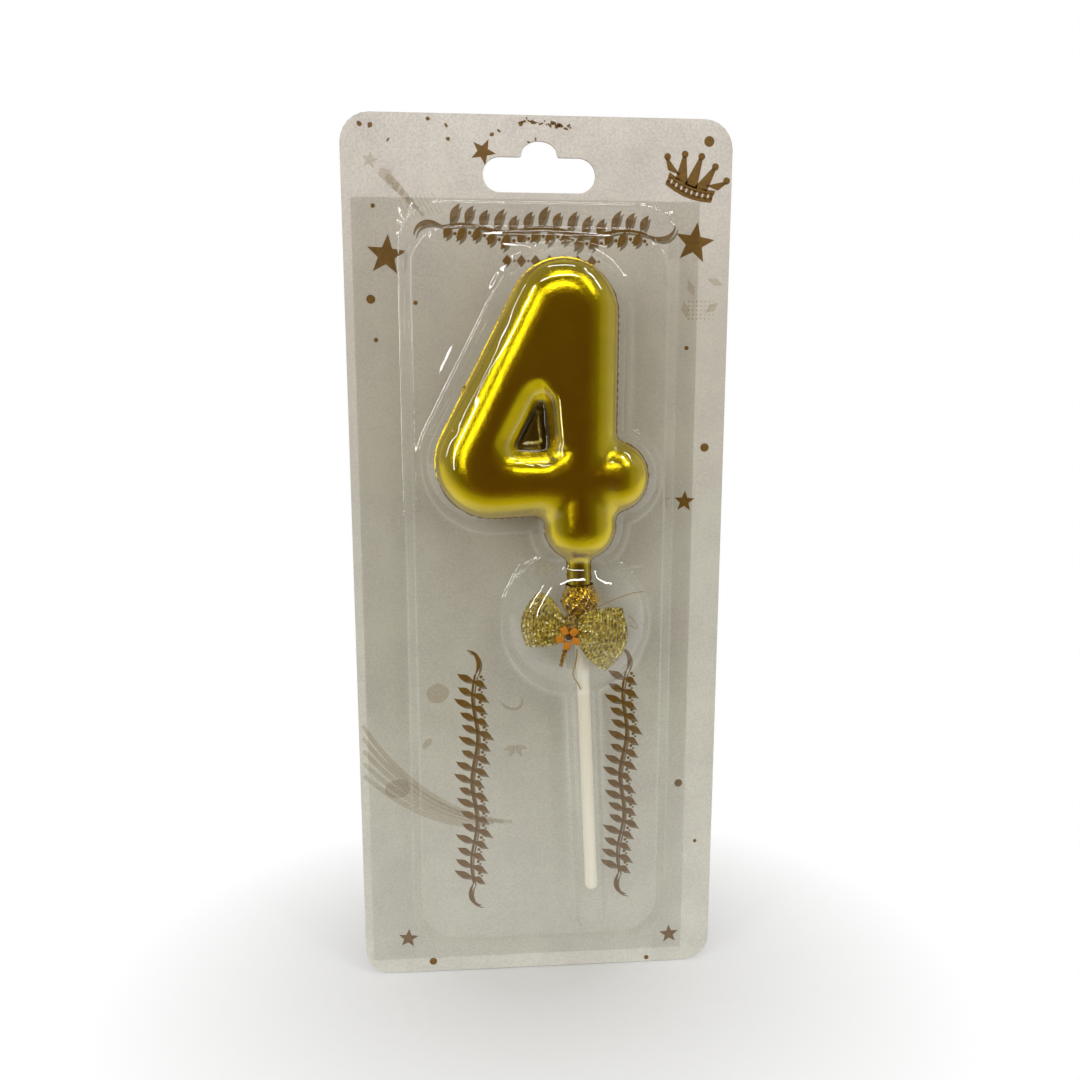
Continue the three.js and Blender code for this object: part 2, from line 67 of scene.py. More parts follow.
def add(tree, kind, sockets=None, **settings):
    """Adds a node, sets its properties, and sets or links its sockets.

    A socket takes a value, a hex colour, another node's output, or a node, which
    stands for the first of its outputs in use.
    """
    made = tree.nodes.new("ShaderNode" + kind)
    for key, value in settings.items():
        setattr(made, key, value)
    for key, value in (sockets or {}).items():
        if isinstance(value, bpy.types.Node):
            value = next(output for output in value.outputs if output.enabled)
        if isinstance(value, bpy.types.NodeSocket):
            tree.links.new(value, made.inputs[key])
        else:
            made.inputs[key].default_value = linear(value) if isinstance(value, str) else value
    return made


def material_of(name):
    """A new material, its tree with the output ready, and the piece's own place."""
    material = bpy.data.materials.new(name)
    material.use_nodes = True
    tree = material.node_tree
    tree.nodes.clear()
    add(tree, "OutputMaterial")
    return material, tree, add(tree, "TexCoord").outputs["Object"]


def stops(ramp, levels):
    """Sets a ramp node's stops, given in order, as hex or as linear colours."""
    levels = [(at, linear(c) if isinstance(c, str) else (*c, 1)) for at, c in levels]
    marks = ramp.color_ramp.elements
    for end, (position, colour) in zip((marks[0], marks[1]), (levels[0], levels[-1])):
        end.position, end.color = position, colour
    for position, colour in levels[1:-1]:
        marks.new(position).color = colour


def shown(tree, shader):
    """Links the last shader to the tree's output."""
    output = next(n for n in tree.nodes if n.type.startswith("OUTPUT"))
    tree.links.new(shader.outputs[0], output.inputs["Surface"])


METRE = 1000           # mm in a metre, to turn a size into a texture's scale
BOARD_FIBRE = 0.5      # mm, the coat's faint mottling
BOARD_CLOUD = 14       # mm, slow changes of tone
BOARD_FOOT, BOARD_TOP = -0.192, 0.0125    # metres, in the row frame

# Coated board: off-white, cloudy with a faint fibre, and nearly without shine
board, tree, place = material_of("coated_board")
# Painted light and shade: the tone changes with height, lighter at the top, a little darker below it and
# greener towards the foot
heights = add(tree, "SeparateXYZ", {0: place})
level = add(tree, "MapRange", {
    "Value": heights.outputs["Z"], "From Min": BOARD_FOOT, "From Max": BOARD_TOP})
tone = add(tree, "ValToRGB", {0: level})
stops(tone, [(0, "#c6c6bb"), (0.3, "#c4c4b8"), (0.6, "#bebcaf"), (0.8, "#bfbaae"), (1, "#d3cec6")])
cloud = add(tree, "TexNoise", {
    "Vector": place, "Scale": METRE / BOARD_CLOUD, "Detail": 9, "Roughness": 0.68})
fibre = add(tree, "TexNoise", {"Vector": place, "Scale": METRE / BOARD_FIBRE, "Detail": 3})
mottle = add(tree, "MapRange", {
    "Value": cloud, "From Min": 0.3, "From Max": 0.7, "To Min": 0, "To Max": 0.5})
speck = add(tree, "MapRange", {
    "Value": fibre, "From Min": 0.35, "From Max": 0.65, "To Min": -0.22, "To Max": 0.22})
uneven = add(tree, "Math", {0: mottle, 1: speck}, operation="ADD", use_clamp=True)
coat = add(tree, "Mix", {0: uneven, 6: tone, 7: "#a9a3a0"}, data_type="RGBA")
facing = add(tree, "SeparateXYZ", {0: add(tree, "NewGeometry").outputs["Normal"]})
flat_side = add(tree, "Math", {0: facing.outputs["Y"]}, operation="ABSOLUTE")
core = add(tree, "Mix", {0: flat_side, 6: "#b3aca2", 7: coat}, data_type="RGBA")
grain = add(tree, "Bump", {"Height": fibre, "Strength": 0.3, "Distance": 0.00006})
shown(tree, add(tree, "BsdfPrincipled", {
    "Base Color": core, "Roughness": 0.8, "Specular IOR Level": 0.15, "Normal": grain}))

card_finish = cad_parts["backing_card"].data.materials
card_finish.clear()
card_finish.append(board)


# PRINTED ORNAMENTS
# Gold-brown ink on the card's front: stars, dots, spatters, a crown and plain
# garlands, over paler tints of the same ink. Each lies as a very thin film on
# the coat, in the front view's millimetres from the middle of the hang slot.

CARD_FRONT = 0.6       # mm, the card's thickness
INK = 0.03             # mm, how far the ink stands on the coat
RNG = np.random.default_rng(4)


def upright(points):
    """Front-view millimetres (x, y, z out of the card) in the row frame."""
    p = np.asarray(points, float).reshape(-1, 3)
    return np.stack([p[:, 0], -p[:, 2], p[:, 1]], -1) / METRE


def piece(name, points, faces, material, body, smooth=True):
    """A mesh piece that rides on a body and takes its finish from a slot."""
    mesh = bpy.data.meshes.new(name)
    mesh.from_pydata(upright(points).tolist(), [], [list(map(int, f)) for f in faces])
    mesh.validate()
    mesh.materials.append(material)
    mesh.polygons.foreach_set("use_smooth", [smooth] * len(mesh.polygons))
    made = bpy.data.objects.new(name, mesh)
    bpy.context.scene.collection.objects.link(made)
    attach(made, body)
    return made


def around(count):
    """Even angles round a full turn."""
    return np.linspace(0, 2 * pi, count, endpoint=False)


class Print:
    """Flat shapes gathered into one printed layer."""

    def __init__(self, lift):
        self.points, self.faces, self.lift = [], [], CARD_FRONT + lift

    def shape(self, outline):
        """One flat outline, filled."""
        start = len(self.points)
        self.points += [(x, y, self.lift) for x, y in outline]
        self.faces.append(range(start, start + len(outline)))

    def disc(self, x, y, radius, squash=1, turn=0, ragged=0):
        """A dot, which may be squashed, turned and ragged."""
        a = around(18)
        r = radius * (1 + ragged * RNG.uniform(-1, 1, len(a)))
        u, v = r * np.cos(a), r * squash * np.sin(a)
        self.shape(list(zip(x + u * cos(turn) - v * sin(turn),
                            y + u * sin(turn) + v * cos(turn))))

    def star(self, x, y, radius, turn=0.0, waist=0.42):
        """A star with five points."""
        arms = [radius if k % 2 == 0 else radius * waist for k in range(10)]
        self.shape([(x + r * sin(turn + k * pi / 5), y + r * cos(turn + k * pi / 5))
                    for k, r in enumerate(arms)])

    def stroke(self, path, width, tip=0.22):
        """A line whose width swells in its middle, as a broad pen leaves it."""
        path = np.asarray(path, float)
        along = np.gradient(path, axis=0)
        along /= np.maximum(np.linalg.norm(along, axis=1), 1e-9)[:, None]
        side = np.stack([-along[:, 1], along[:, 0]], -1)
        share = np.linspace(0, 1, len(path))
        half = 0.5 * width * (tip + (1 - tip) * np.sin(pi * share) ** 1.3)
        left, right = path + side * half[:, None], path - side * half[:, None]
        start = len(self.points)
        self.points += [(x, y, self.lift) for x, y in np.concatenate([left, right])]
        n = len(path)
        self.faces += [(start + i, start + n + i, start + n + i + 1, start + i + 1)
                       for i in range(n - 1)]


def curl(x, y, heading, length, bend_from, bend_to, steps=40):
    """A line that sets out at a heading and winds ever tighter or looser."""
    ds = length / steps
    points, angle = [(x, y)], radians(heading)
    for i in range(steps):
        angle += (bend_from + (bend_to - bend_from) * i / steps) * ds
        x, y = x + ds * cos(angle), y + ds * sin(angle)
        points.append((x, y))
    return points


def moved(path, x, y, turn=0.0):
    """A path turned by some degrees and then shifted."""
    c, s = cos(radians(turn)), sin(radians(turn))
    return [(x + u * c - v * s, y + u * s + v * c) for u, v in path]


dark_print = Print(INK)
pale_print = Print(INK / 2)
shade_print = Print(INK / 3)

for x, y, radius, turn in [(-34, -17.5, 4.6, 0.1), (35.3, -14.1, 4.7, 0.15), (-12.4, 4.7, 2.9, 0.45),
                           (34.5, -73, 2.6, 0.05), (-32.9, -182.7, 2.6, 0.1), (33.3, -184.6, 2.6, -0.05)]:
    dark_print.star(x, y, radius, turn)
for x, y, radius in [(38.1, 7.8, 1.15), (-36.7, -7, 0.5), (-37.7, -27, 1), (-27.8, -27.7, 0.5),
                     (-36.8, -35.9, 0.5), (34.1, -37.4, 0.5), (39, -60.3, 1), (34.8, -143.7, 1),
                     (39.4, -159.3, 0.45), (-26.8, -189.3, 0.95), (27.6, -190.9, 0.6)]:
    dark_print.disc(x, y, radius)

# Spatters and a dry brush mark along the top edge
for x, y in [(-39.1, 10), (-36.8, 9.7), (-24.3, 11.3), (-20.4, 10), (-33, 6.8), (-20, 7.2),
             (-10.4, 8.3), (-8.9, 9.1), (-0.8, 7.5), (-2.4, 6.9)]:
    dark_print.disc(x, y, RNG.uniform(0.35, 0.8), RNG.uniform(0.4, 1), RNG.uniform(0, 3), 0.25)
for i in range(26):
    dark_print.disc(-4.1 + 11 * i / 25, 11.4 - 1.1 * i / 25 + RNG.normal(0, 0.28),
                    RNG.uniform(0.16, 0.55), RNG.uniform(0.4, 1), RNG.uniform(0, 3), 0.3)

# A small plain crown, tilted as the printed one is: two bands with pillars
# between them, which sag as the crown's rim does, and five spikes with balls
CROWN = (34.6, -0.6, -20)
CROWN_SAG = 0.03
for low in (-3.9, -2.1):
    for left in -5.6 + 2.24 * np.arange(5):
        right = left + 2.24
        band = [(left, low), (right, low), (right, low + 1), (left, low + 1)]
        dark_print.shape(moved([(u, v + CROWN_SAG * u * u) for u, v in band], *CROWN))
for u in np.linspace(-5.1, 5.1, 9):
    pillar = [(u - 0.42, -3.1), (u + 0.42, -3.1), (u + 0.42, -1.9), (u - 0.42, -1.9)]
    dark_print.shape(moved([(a, b + CROWN_SAG * u * u) for a, b in pillar], *CROWN))
for u, v in [(-7, 2.2), (-3.6, 4.1), (0, 5), (3.6, 4.1), (7, 2.2)]:
    foot_x, foot_y = u * 0.66, -1.4 + CROWN_SAG * u * u
    spike = [(foot_x - 1.5, foot_y), (foot_x + 1.5, foot_y), (u + 0.45, v), (u - 0.45, v)]
    dark_print.shape(moved(spike, *CROWN))
    dark_print.disc(*moved([(u * 1.03, v + 0.5)], *CROWN)[0], 0.78)


# Leafy garlands: a band at the top and one along each side
def garland(layer, x, y, turn, length, size, weight=1.0):
    """A wavy stem with slanted leaves on both sides, berries and end curls."""
    def sway(share):
        return 0.7 * size * sin(share * 5 * pi)

    count = int(length / (3.2 * size))
    stem = [(length * k / 60, sway(k / 60)) for k in range(61)]
    layer.stroke(moved(stem, x, y, turn), 0.8 * size * weight, 0.7)
    for k in range(count):
        at = length * (k + 0.5) / count
        height = sway(at / length)
        for side, heading, reach in [(1, 62, 4.6), (-1, -118, 3.7)]:
            reach *= size * (1 + 0.16 * sin(2.3 * k + side))
            leaf = curl(at, height, heading, reach, 0.16, -0.3, 12)
            layer.stroke(moved(leaf, x, y, turn), 1.75 * size * weight, 0.06)
        berry = moved([(at + 1.1 * size, height - 1.8 * size)], x, y, turn)[0]
        layer.disc(*berry, 0.42 * size * weight)
    for start, heading in [(0, 150), (length, -30)]:
        end = curl(start, 0, heading, 8 * size, 0.12 / size, 0.4 / size)
        layer.stroke(moved(end, x, y, turn), 1.1 * size * weight)


for x, y, turn, length, size in [
        (-21.5, -11.2, -1.5, 46, 1.0), (-16.4, -168.5, 89, 54, 0.95), (20.2, -167, 89, 52.5, 0.95)]:
    garland(dark_print, x, y, turn, length, size)
    garland(shade_print, x + 0.55, y - 0.7, turn, length, size, 0.75)
LOZENGE_ROW = -18.4
for x in np.linspace(-7.2, 11.9, 7):
    dark_print.shape(moved([(0, -1.4), (1.15, 0), (0, 1.4), (-1.15, 0)], x, LOZENGE_ROW))
    dark_print.disc(x + 1.6, LOZENGE_ROW, 0.32)

# Pale tints: a comet, a star, confetti, blots, petals and broad swooshes
pale_print.star(-37.1, 2.5, 1.9, 0.2)
for k in range(7):
    pale_print.disc(-33.5 + 1.25 * k, -0.8 - 1.3 * k, 2.3 - 0.27 * k, 0.55, -0.8, 0.2)
for k in range(9):
    start = (-31 + 0.9 * k, -5.6 + 0.2 * k)
    pale_print.stroke([start, (start[0] + 2.4, start[1] - 4.4)], 0.35)
for x, y, turn in [(34.8, -24, 0.4), (40.4, -22.6, 1.2), (39.8, -28.3, 2.2), (33.6, -28.8, 0.2)]:
    pale_print.shape(moved([(0, -2), (0.9, 0), (0, 2), (-0.9, 0)], x, y, degrees(turn)))
for i in range(7):
    for k in range(5):
        pale_print.disc(34.4 + 0.95 * i, -27 - 0.95 * k, 0.28 - 0.02 * i)
pale_print.disc(-24.5, -119, 2.7, 0.9, 0.3, 0.03)
pale_print.disc(-34.6, -142.9, 3.1, 0.8, 0.2, 0.03)
pale_print.disc(-27.3, -131.6, 1.6, 0.5, 0.9, 0.05)
for turn in (200, 245, 300, 345):
    pale_print.shape(moved([(0, 0), (1.6, 0.7), (3.2, 0), (1.6, -0.7)], -5.9, -132.7, turn))
pale_print.stroke(curl(-9.6, -121, -60, 9, 0.1, 0.7), 0.8)
for k in range(5):
    sweep = curl(-42.6, -126.5 - 3.2 * k, -60 + 4 * k, 46 - 4 * k, 0.012, 0.03)
    pale_print.stroke([p for p in sweep if -191 < p[1]], 1.5, 0.6)


def speckled(name, tones, speck, finish, detail=2, edges=None, bump=None, stretch=None):
    """A finish in two tones, in specks of a size in mm, which may be raised.

    The edges are the noise levels between which the second tone comes in, and
    its largest share; the bump is its strength and its height in metres.
    """
    material, tree, place = material_of(name)
    if stretch:
        place = add(tree, "Mapping", {"Vector": place, "Scale": stretch})
    noise = add(tree, "TexNoise", {"Vector": place, "Scale": METRE / speck, "Detail": detail})
    share = noise
    if edges:
        share = add(tree, "MapRange", {
            "Value": noise, "From Min": edges[0], "From Max": edges[1], "To Max": edges[2]})
    tone = add(tree, "Mix", {0: share, 6: tones[0], 7: tones[1]}, data_type="RGBA")
    sockets = {"Base Color": tone, **finish}
    if bump:
        sockets["Normal"] = add(tree, "Bump", {
            "Height": noise, "Strength": bump[0], "Distance": bump[1]})
    shown(tree, add(tree, "BsdfPrincipled", sockets))
    return material


# Litho ink: a thin dull film, thinner in blotches where the coat shows through
for name, layer, ink, tones, blotch, alpha in [
        ("print_dark", dark_print, "gold_brown_ink", ("#624303", "#80601f"), 0.5, 1),
        ("print_pale", pale_print, "pale_tint_ink", ("#b5a480", "#cfc6b6"), 0.6, 0.3),
        ("print_shade", shade_print, "grey_tint_ink", ("#7d6f56", "#8d8069"), 0.5, 0.8)]:
    litho = speckled(ink, tones, 0.9, {"Roughness": 0.5, "Alpha": alpha}, 4, (0.35, 0.75, blotch))
    piece(name, layer.points, layer.faces, litho, "card", smooth=False)


# STICK
# A white extruded plastic stick, 3 mm across, cut square with a softened end.
# Fine lines run along it from the die, and it goes up into the figure's neck.

TOPPER_X, TOPPER_Y = 8.15, -77.3    # mm, the topper's own origin, on the neck's axis
LEAN = radians(2.6)            # how far the topper's top leans to the left
PARTING = 7.4                       # mm, the figure's parting plane above the card's back


def on_topper(points):
    """Points of the topper's own frame in the front view's frame."""
    p = np.asarray(points, float).reshape(-1, 3)
    c, s = cos(LEAN), sin(LEAN)
    return np.stack([TOPPER_X + p[:, 0] * c - p[:, 1] * s,
                     TOPPER_Y + p[:, 0] * s + p[:, 1] * c, PARTING + p[:, 2]], -1)


def tube(rings, closed_ends=True):
    """Points and faces of a skin through rings of equal count."""
    rings = np.asarray(rings, float)
    n, m = rings.shape[:2]
    faces = [(i * m + k, i * m + (k + 1) % m, (i + 1) * m + (k + 1) % m, (i + 1) * m + k)
             for i in range(n - 1) for k in range(m)]
    if closed_ends:
        faces += [tuple(range(m))[::-1], tuple(range((n - 1) * m, n * m))]
    return rings.reshape(-1, 3), faces


def turned(profile, sides):
    """Rings round the topper's y axis through (y, radius) pairs."""
    a = around(sides)
    return np.array([[(r * cos(t), y, -r * sin(t)) for t in a] for y, r in profile])


# Extruded polypropylene: warm white, waxy and a little translucent
extruded = speckled("extruded_polypropylene", ("#f3f0e2", "#e7e3d2"), 0.3, {
    "Roughness": 0.42, "IOR": 1.49, "Subsurface Weight": 0.15,
    "Subsurface Radius": (0.001, 0.001, 0.0008)}, bump=(0.25, 0.00005), stretch=(1, 1, 0.03))

STICK_RADIUS, STICK_END, STICK_TOP = 1.5, -89.5, -16
profile = [(STICK_END + up, r)
           for up, r in [(0, 0.02), (0, 0.9), (0.05, 1.2), (0.2, 1.38), (0.5, 1.48)]]
profile += [(y, STICK_RADIUS) for y in np.linspace(STICK_END + 1, STICK_TOP, 24)]
points, faces = tube(turned(profile, 40))
stick = piece("stick_turned", on_topper(points), faces, extruded, "topper")
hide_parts("stick")


# FIGURE
# A hollow figure 4 in two injection-moulded halves, welded along a thin flash
# and vacuum-plated mirror gold. The skin is fair and full like a foil balloon,
# with soft creases where its strokes meet, and a faint orange peel in the gold.

HALF_DEPTH, ROUNDOVER = 6.4, 8.2
CREASE = 2.2           # mm, the reach of the soft crease between two strokes
NECK_RADIUS, NECK_ROOT, NECK_END = 2.65, -4, -16.8
WEB_HALF = 0.5         # mm, half the web that closes the counter
FIGURE_NET = 0.42      # mm, the skin's mesh

# The strokes' outlines as corners, each with its rounding: the head's diagonal
# leans one way and its upright the other, from the bar up to the crown
DIAGONAL_FOOT, UPRIGHT_RIGHT = -40.4, 8.8
BAR_BOTTOM, BAR_TOP = 2.5, 18.4
NUB_LEFT, NUB_RIGHT = -11.5, 16.6
LOBE_LEFT, LOBE_BOTTOM = -7.5, -8.1
END_ROUND, HEEL_ROUND, CROWN_ROUND = 7.6, 12.6, 12.1
lean_right = tan(radians(2.8))
slope = 1 / tan(radians(60.2))
rise = (UPRIGHT_RIGHT - DIAGONAL_FOOT) / (slope - lean_right)
HEAD = [(DIAGONAL_FOOT, BAR_BOTTOM, HEEL_ROUND), (UPRIGHT_RIGHT, BAR_BOTTOM, END_ROUND),
        (DIAGONAL_FOOT + rise * slope, BAR_BOTTOM + rise, CROWN_ROUND)]


def block(left, right, low, high, rounding):
    """The four corners of an upright block, all with one rounding."""
    return [(x, y, rounding) for x, y in [(left, low), (right, low), (right, high), (left, high)]]


NUB = block(NUB_LEFT, NUB_RIGHT, BAR_BOTTOM, BAR_TOP, END_ROUND)
LOBE = block(LOBE_LEFT, UPRIGHT_RIGHT, LOBE_BOTTOM, BAR_TOP, END_ROUND)
COUNTER = [(-11.6, 19, 0.5), (-7.2, 19, 0.5), (-7.7, 27.5, 0.5)]
WELL = [(-14.3, 17.5, 1.2), (-5.7, 17.2, 1.2), (-6.4, 31, 1)]
WELL_RIM = 3.4         # mm, how high the counter's steep walls reach
WELL_BAND = (0.62, 1.2)           # the flat band's slope, at the left and right
WELL_BOWL = (0.95, 0.075, 5.6)    # the rounder band at the foot


def inside_of(corners):
    """How far points lie inside a convex outline with rounded corners."""
    arcs = []
    for i, (x, y, r) in enumerate(corners):
        here = np.array([x, y])
        arrive = here - np.array(corners[i - 1][:2])
        leave = np.array(corners[(i + 1) % len(corners)][:2]) - here
        arrive, leave = arrive / np.linalg.norm(arrive), leave / np.linalg.norm(leave)
        turn = atan2(arrive[0] * leave[1] - arrive[1] * leave[0], arrive @ leave)
        reach = r * tan(turn / 2)
        start, end = here - arrive * reach, here + leave * reach
        centre = start - r * np.array([arrive[1], -arrive[0]])
        middle = here - centre
        arcs.append((centre, r, start, end, middle / np.linalg.norm(middle), cos(turn / 2)))

    def depth(p):
        """Millimetres inside the outline, below zero outside it."""
        best = np.full(len(p), 1e9)
        signed = np.zeros(len(p))
        for i, (centre, r, _, end, middle, cosine) in enumerate(arcs):
            start_next = arcs[(i + 1) % len(arcs)][2]
            side = start_next - end
            share = np.clip(((p - end) @ side) / max(side @ side, 1e-12), 0, 1)
            offset = p - end - share[:, None] * side
            d = np.linalg.norm(offset, axis=1)
            cross = side[0] * (p[:, 1] - end[1]) - side[1] * (p[:, 0] - end[0])
            nearer = d < best
            best = np.where(nearer, d, best)
            signed = np.where(nearer, np.sign(cross) * d, signed)
            arm = p - centre
            far = np.linalg.norm(arm, axis=1)
            d = np.abs(far - r)
            nearer = (arm @ middle >= cosine * far - 1e-9) & (d < best)
            best = np.where(nearer, d, best)
            signed = np.where(nearer, r - far, signed)
        return signed
    return depth


def soft_max(a, b, reach):
    """The larger of two values, blended where they lie within reach."""
    h = np.clip(1 - np.abs(a - b) / reach, 0, 1)
    return np.maximum(a, b) + h * h * reach / 4


head_depth, nub_depth, lobe_depth = map(inside_of, (HEAD, NUB, LOBE))
counter_depth, well_depth = map(inside_of, (COUNTER, WELL))


def outline_depth(p):
    """How far points lie inside the whole figure's outline."""
    return soft_max(soft_max(head_depth(p), lobe_depth(p), CREASE), nub_depth(p), CREASE)


def well_level(p):
    """The skin's height round the counter: a steep wall, then a sloped band."""
    hole, well = counter_depth(p), well_depth(p)
    climb = np.clip(-hole / np.maximum(well - hole, 1e-6), 0, 1)
    away = np.maximum(-well, 0)
    flat_slope = np.interp(p[:, 0], (-7, -5), WELL_BAND)
    start, bend, reach = WELL_BOWL
    bowl = start * away - bend * np.minimum(away, reach) ** 2
    rounder = np.clip((19.5 - p[:, 1]) / 2, 0, 1)
    band = flat_slope * away * (1 - rounder) + bowl * rounder
    return np.where(hole > 0, -3 * hole, WELL_RIM * climb + band)


def figure_field(p):
    """Below zero inside the figure, roughly in millimetres near its skin."""
    flat = p[:, :2]
    draw = np.clip((ROUNDOVER - outline_depth(flat)) / ROUNDOVER, 0, None)
    body = (np.sqrt(draw ** 2 + (p[:, 2] / HALF_DEPTH) ** 2) - 1) * HALF_DEPTH
    body = soft_max(body, (np.abs(p[:, 2]) - well_level(flat)) * 0.6, 0.25)
    across = np.hypot(p[:, 0], p[:, 2])
    neck = np.maximum(np.maximum(across - NECK_RADIUS, p[:, 1] - NECK_ROOT), NECK_END - 1 - p[:, 1])
    web = np.maximum(np.abs(p[:, 2]) - WEB_HALF, -counter_depth(flat) - 1)
    return np.minimum(-soft_max(-body, -neck, 1.2), web)


def net_over(field, low, high, step):
    """A net of quads through every cell that the field's zero crosses."""
    counts = [int(round((h - l) / step)) for l, h in zip(low, high)]
    axes = [l + step * np.arange(n + 1) for l, n in zip(low, counts)]
    grid = np.stack(np.meshgrid(*axes, indexing="ij"), -1)
    within = (field(grid.reshape(-1, 3)) < 0).reshape(grid.shape[:3])
    corners = sum(within[i:i + counts[0], j:j + counts[1], k:k + counts[2]].astype(int)
                  for i in (0, 1) for j in (0, 1) for k in (0, 1))
    crossed = (corners > 0) & (corners < 8)
    index = np.full(counts, -1)
    index[crossed] = np.arange(crossed.sum())
    cells = np.argwhere(crossed)
    centres = np.array(low) + step * (cells + 0.5)
    faces = []
    for axis in range(3):
        u, v = (axis + 1) % 3, (axis + 2) % 3
        here = np.moveaxis(within, (axis, u, v), (0, 1, 2))
        cell = np.moveaxis(index, (axis, u, v), (0, 1, 2))
        a, b = here[:-1, 1:-1, 1:-1], here[1:, 1:-1, 1:-1]
        loops = np.stack([cell[:, :-1, :-1], cell[:, 1:, :-1], cell[:, 1:, 1:], cell[:, :-1, 1:]], -1)
        faces += [loops[a & ~b], loops[~a & b][:, ::-1]]
    return centres, np.concatenate(faces)


def eased(points, faces, rounds):
    """A mesh's points drawn towards their neighbours, to soften its ridges."""
    ends = np.concatenate([faces[:, [k, (k + 1) % 4]] for k in range(4)])
    count = np.bincount(ends[:, 0], minlength=len(points))[:, None]
    for _ in range(rounds):
        near = np.stack([np.bincount(ends[:, 0], points[ends[:, 1], k], len(points))
                         for k in range(3)], -1)
        points = 0.5 * points + 0.5 * near / count
    return points


def drawn_to(points, field, rounds=5):
    """Moves the net's points onto the field's zero."""
    e = 1e-3
    for _ in range(rounds):
        slopes = np.stack([(field(points + s) - field(points - s)) / (2 * e)
                           for s in np.eye(3) * e], -1)
        pull = field(points) / np.maximum((slopes ** 2).sum(-1), 0.05)
        points = points - np.clip(pull, -0.5, 0.5)[:, None] * slopes
    return points


net, quads = net_over(figure_field, (-33, -17.8, -7.14), (18.66, 61, 7.14), FIGURE_NET)
net = eased(drawn_to(net, figure_field), quads, 10)

# Vacuum-plated aluminium under yellow lacquer: a mirror, a little soft from its
# orange peel and its slow waves, with painted shade in dark olive on the counter's
# walls and on the neck
ORANGE_PEEL, SLOW_WAVE = 0.45, 7      # mm, the sizes of the two
plated, tree, place = material_of("vacuum_plated_gold")
peel = add(tree, "TexNoise", {
    "Vector": place, "Scale": METRE / ORANGE_PEEL, "Detail": 3, "Roughness": 0.6})
wave = add(tree, "TexNoise", {"Vector": place, "Scale": METRE / SLOW_WAVE, "Detail": 1})
soft_wave = add(tree, "Bump", {"Height": wave, "Strength": 0.25, "Distance": 0.0005})
fine_peel = add(tree, "Bump", {
    "Height": peel, "Strength": 0.5, "Distance": 0.00008, "Normal": soft_wave})
drift = add(tree, "MapRange", {"Value": wave, "From Min": 0.35, "From Max": 0.65})
lacquer = add(tree, "Mix", {0: drift, 6: "#dfc816", 7: "#d8bf13"}, data_type="RGBA")
painted_shade_share = add(tree, "Attribute", attribute_name="painted_shade")
plating = add(tree, "Mix", {0: painted_shade_share.outputs["Fac"], 6: lacquer, 7: "#75693f"}, data_type="RGBA")
shown(tree, add(tree, "BsdfPrincipled", {
    "Base Color": plating, "Metallic": 1, "Roughness": 0.17, "Normal": fine_peel}))


def half_of(points, faces, side):
    """The part of a mesh on one side of the parting plane, open along it."""
    cut = bmesh.new()
    verts = [cut.verts.new(p) for p in points]
    for f in faces:
        cut.faces.new([verts[i] for i in f])
    for level, away in [((0, 0, 0), (0, 0, -side)), ((0, NECK_END, 0), (0, -1, 0))]:
        bmesh.ops.bisect_plane(cut, geom=cut.verts[:] + cut.edges[:] + cut.faces[:], dist=1e-4,
                               plane_co=level, plane_no=away, clear_outer=True)
    cut.verts.index_update()
    edge = [[v.co.copy() for v in e.verts] for e in cut.edges if e.is_boundary]
    out = [tuple(v.co) for v in cut.verts], [[v.index for v in f.verts] for f in cut.faces]
    cut.free()
    return out + (edge,)


rims = []
for name, side in [("number_front_shell", 1), ("number_back_shell", -1)]:
    points, faces, rim = half_of(net, quads, side)
    rims.append(rim)
    shell = piece(name + "_skin", on_topper(points), faces, plated, "topper")
    # Painted shade: the counter's walls are painted dark olive for the shade in that
    # recess, and the neck is painted half as dark
    painted_shade = shell.data.attributes.new("painted_shade", "FLOAT", "POINT")
    spots = np.array(points)[:, :2]
    wall_shade = np.clip((well_depth(spots) + 0.3) / 0.8, 0, 0.9)
    neck_shade = 0.5 * np.clip((-8 - spots[:, 1]) / 1.5, 0, 1)
    painted_shade.data.foreach_set("value", np.maximum(wall_shade, neck_shade).astype(np.float32))
    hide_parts(name)

# Flash: a ragged fin of plated plastic that was squeezed out of the weld, with
# one larger burr on the diagonal's flank. It ends where the collar begins, and
# the counter's own rim has none.
BURR = (-24.4, 32)
FLASH_END = -13.6
points, faces = [], []
for a, b in rims[0]:
    if abs(a.z) > 1e-3 or abs(b.z) > 1e-3 or min(a.y, b.y) < FLASH_END:
        continue
    if counter_depth(np.array([[a.x, a.y]]))[0] > -2:
        continue
    start = len(points)
    for end in (a, b):
        e = 0.01
        p = np.array([[end.x, end.y]])
        out = -np.array([outline_depth(p + [[e, 0]])[0] - outline_depth(p - [[e, 0]])[0],
                         outline_depth(p + [[0, e]])[0] - outline_depth(p - [[0, e]])[0]])
        if end.y < -7.5 and abs(end.x) < NECK_RADIUS + 0.3:
            out = np.array([np.sign(end.x), 0])
        out /= max(np.linalg.norm(out), 1e-9)
        reach = 0.28 + 0.07 * sin(end.x * 4.1 + end.y * 3.3) + 0.04 * sin(end.y * 11)
        reach += 1.3 * exp(-((end.x - BURR[0]) ** 2 + (end.y - BURR[1]) ** 2) / 0.6)
        for z, far in [(0.28, -0.2), (0.2, reach), (0.04, reach * 0.8), (-0.1, -0.2)]:
            points.append((end.x + out[0] * far, end.y + out[1] * far, z))
    faces += [(start + k, start + k + 1, start + 5 + k, start + 4 + k) for k in range(3)]
piece("number_flash", on_topper(points), faces, plated, "topper", smooth=False)
